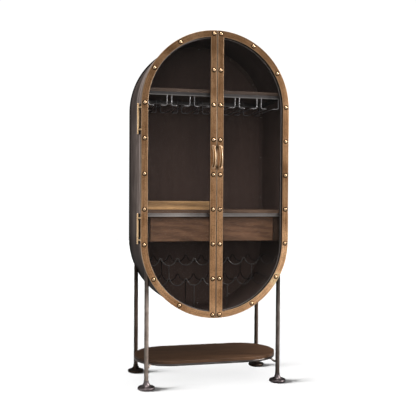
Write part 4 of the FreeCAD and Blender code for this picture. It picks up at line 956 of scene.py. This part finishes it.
lower_wood = wood("lower_shelf_wood", (0.022, 0.0096, 0.0041), (0.129, 0.0645, 0.0322), "x", gloss=0.5,
                  figure=1.8, swirl=0.1, left=0.42)
ring_steel = brushed_steel("ring_steel", (0.08, 0.068, 0.060), (0.26, 0.232, 0.215), 0.36,
                           "UV", (10, 800, 1))
RING_EDGE = 0.005
RING_WIDTH = 0.012
RING_STEPS = 65
low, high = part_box("lower_shelf_ring")
ring_radius = (high.y - low.y) / 2
ring_end = high.x - ring_radius
across, height = rounded_section(RING_WIDTH, high.z - low.z, RING_EDGE)
y, x = stadium(ring_radius - RING_WIDTH + across, ring_end, -ring_end, RING_STEPS)
rings = np.broadcast_arrays(x, y + (low.y + high.y) / 2, low.z + height)
skin = surface(np.stack(rings, 2), closed=True)
make_piece("shelf_ring_bar", [skin], ring_steel, "cabinet", "leg_steel", "lower_shelf_ring")
dress(lower_wood, "lower_shelf")
dress(leg_steel, "lower_shelf_brackets")


# Floor: a broad pale sweep under the cabinet, palest far away, and laid twice. The camera sees one sheet.
# The other throws light back at the cabinet, so the low sun that draws the feet's shadows stays off it.

FLOOR_REACH = 14.0
SHEET_GAP = 0.002
PALEST_FROM = 8.0
finish = Finish("pale_floor", Specular_IOR_Level=0.0)
mottle = finish.noise(finish.place(), 2.0, 3.0)
colour = finish.ramp(mottle, (0.3, 0.78), (0.7, 0.82))
colour = finish.mix(finish.patch((0, 0, 0), PALEST_FROM), (0.95, 0.95, 0.95, 1), colour)
floor_paint = finish.wear(colour, finish.span(mottle, 0.8, 0.9), mottle, 0.0001)
corners = np.array([(-1, -1, 0), (1, -1, 0), (1, 1, 0), (-1, 1, 0)]) * FLOOR_REACH
floors = []
for name, drop in (("seen_floor", 0), ("bounce_floor", SHEET_GAP)):
    mesh = bpy.data.meshes.new(name)
    mesh.from_pydata(corners - (0, 0, drop), [], [(0, 1, 2, 3)])
    mesh.materials.append(floor_paint)
    floor = bpy.data.objects.new(name, mesh)
    bpy.context.scene.collection.objects.link(floor)
    floors.append(floor)
seen_floor, bounce_floor = floors
seen_floor.visible_diffuse = False
seen_floor.visible_glossy = False
seen_floor.visible_shadow = False
bounce_floor.visible_camera = False


def light_group(name, members, state):
    """A collection that a lamp takes as its receivers or blockers: only its members, or all but them."""
    group = bpy.data.collections.new(name)
    for member in members:
        group.objects.link(member)
    for link in group.collection_objects:
        link.light_linking.link_state = state
    return group


all_but_floor = light_group("all_but_floor", floors, "EXCLUDE")
all_but_seen_floor = light_group("all_but_seen_floor", [seen_floor], "EXCLUDE")
seen_floor_only = light_group("seen_floor_only", [seen_floor], "INCLUDE")
feet_only = light_group("feet_only", [feet], "INCLUDE")


# Studio: a dim room with a white backdrop, a broad soft sun from the upper front left, a weaker one
# overhead and a low one for the seen floor, a soft box on each side and one overhead, and a broad fill
# from the front.

ROOM_FRONT = 0.50
ROOM_BACK = 0.05
BACKDROP = 1.04
WHITE = (1, 1, 1, 1)
world = bpy.data.worlds.new("studio")
bpy.context.scene.world = world
sky = Graph(world)
rearward = sky.node("SeparateXYZ", {"Vector": sky.node("TexCoord", {}, "Generated")}, "Y")
room = sky.nodes["Background"]
sky.feed(room.inputs["Color"], WHITE)
sky.feed(room.inputs["Strength"], sky.span(rearward, ROOM_FRONT, ROOM_BACK, -1))
backdrop = sky.node("Background", {"Color": WHITE, "Strength": BACKDROP})
seen = sky.node("LightPath", {}, "Is Camera Ray")
choice = sky.node("MixShader", {"Fac": seen, 1: room.outputs[0], 2: backdrop})
sky.feed(sky.nodes["World Output"].inputs["Surface"], choice)


def soft_sun(name, way, spread, strength):
    """A far light that shines along a way, spread over an angle in degrees, and shows in no
    reflection."""
    sun = bpy.data.lights.new(name, "SUN")
    sun.energy, sun.angle = strength, math.radians(spread)
    lamp = bpy.data.objects.new(name, sun)
    lamp.rotation_euler = Vector(way).to_track_quat("-Z", "Y").to_euler()
    lamp.visible_glossy = False
    bpy.context.scene.collection.objects.link(lamp)
    return lamp


def soft_box(name, place, aim, width, height, watts):
    """A rectangular light at a place, turned to face a point."""
    lamp = bpy.data.lights.new(name, "AREA")
    lamp.shape = "RECTANGLE"
    lamp.size, lamp.size_y, lamp.energy = width, height, watts
    box = bpy.data.objects.new(name, lamp)
    box.location = place
    box.rotation_euler = (Vector(aim) - Vector(place)).to_track_quat("-Z", "Y").to_euler()
    bpy.context.scene.collection.objects.link(box)
    return box


overhead_sun = soft_sun("overhead_sun", (0.15, -0.20, -0.97), 40, 0.9)
overhead_sun.light_linking.receiver_collection = all_but_seen_floor
low_sun = soft_sun("low_sun", (0.977, -0.03, -0.208), 32, 15.6)
low_sun.light_linking.receiver_collection = seen_floor_only
low_sun.light_linking.blocker_collection = feet_only
fill = soft_box("front_fill", (-1.2, -6.5, 2.2), (0, 0, 1.2), 4.0, 3.0, 160)
fill.visible_glossy = False
for lamp in (soft_sun("front_sun", (0.2, 0.55, -0.82), 70, 3.3),
             soft_box("right_box", (3.6, -2.0, 2.4), (0, 0, 1.2), 1.2, 1.6, 190),
             soft_box("left_box", (-3.6, -2.2, 2.0), (0, 0, 1.0), 1.0, 2.4, 15),
             soft_box("top_box", (0, -1.2, 4.4), (0, 0, 0.2), 2.0, 1.6, 70), fill):
    lamp.light_linking.receiver_collection = all_but_floor


# Camera: a long lens to the cabinet's left and a little below its middle, turned, tilted and rolled as it
# was for the photograph. Its place was found from the outline, the rivets and the legs.

CAMERA_PLACE = (-1.086256, FACE_Y - 4.125325, MIDDLE_Z - 0.123808)
CAMERA_YAW, CAMERA_PITCH, CAMERA_ROLL = 0.2454, -0.0181, 0.0061
FOCAL_PIXELS = 708.35
IMAGE_PIXELS = 416
level = Vector((math.sin(CAMERA_YAW), math.cos(CAMERA_YAW), 0))
forward = level * math.cos(CAMERA_PITCH) + Vector((0, 0, math.sin(CAMERA_PITCH)))
right = Vector((math.cos(CAMERA_YAW), -math.sin(CAMERA_YAW), 0))
up = right.cross(forward)
tilted_right = right * math.cos(CAMERA_ROLL) + up * math.sin(CAMERA_ROLL)
tilted_up = up * math.cos(CAMERA_ROLL) - right * math.sin(CAMERA_ROLL)
lens = bpy.data.cameras.new("camera")
lens.lens = FOCAL_PIXELS / IMAGE_PIXELS * lens.sensor_width
camera = bpy.data.objects.new("camera", lens)
axes = Matrix((tilted_right, tilted_up, -forward)).transposed().to_4x4()
camera.matrix_world = Matrix.Translation(CAMERA_PLACE) @ axes
bpy.context.scene.collection.objects.link(camera)
bpy.context.scene.camera = camera
bpy.context.scene.view_settings.view_transform = "Standard"
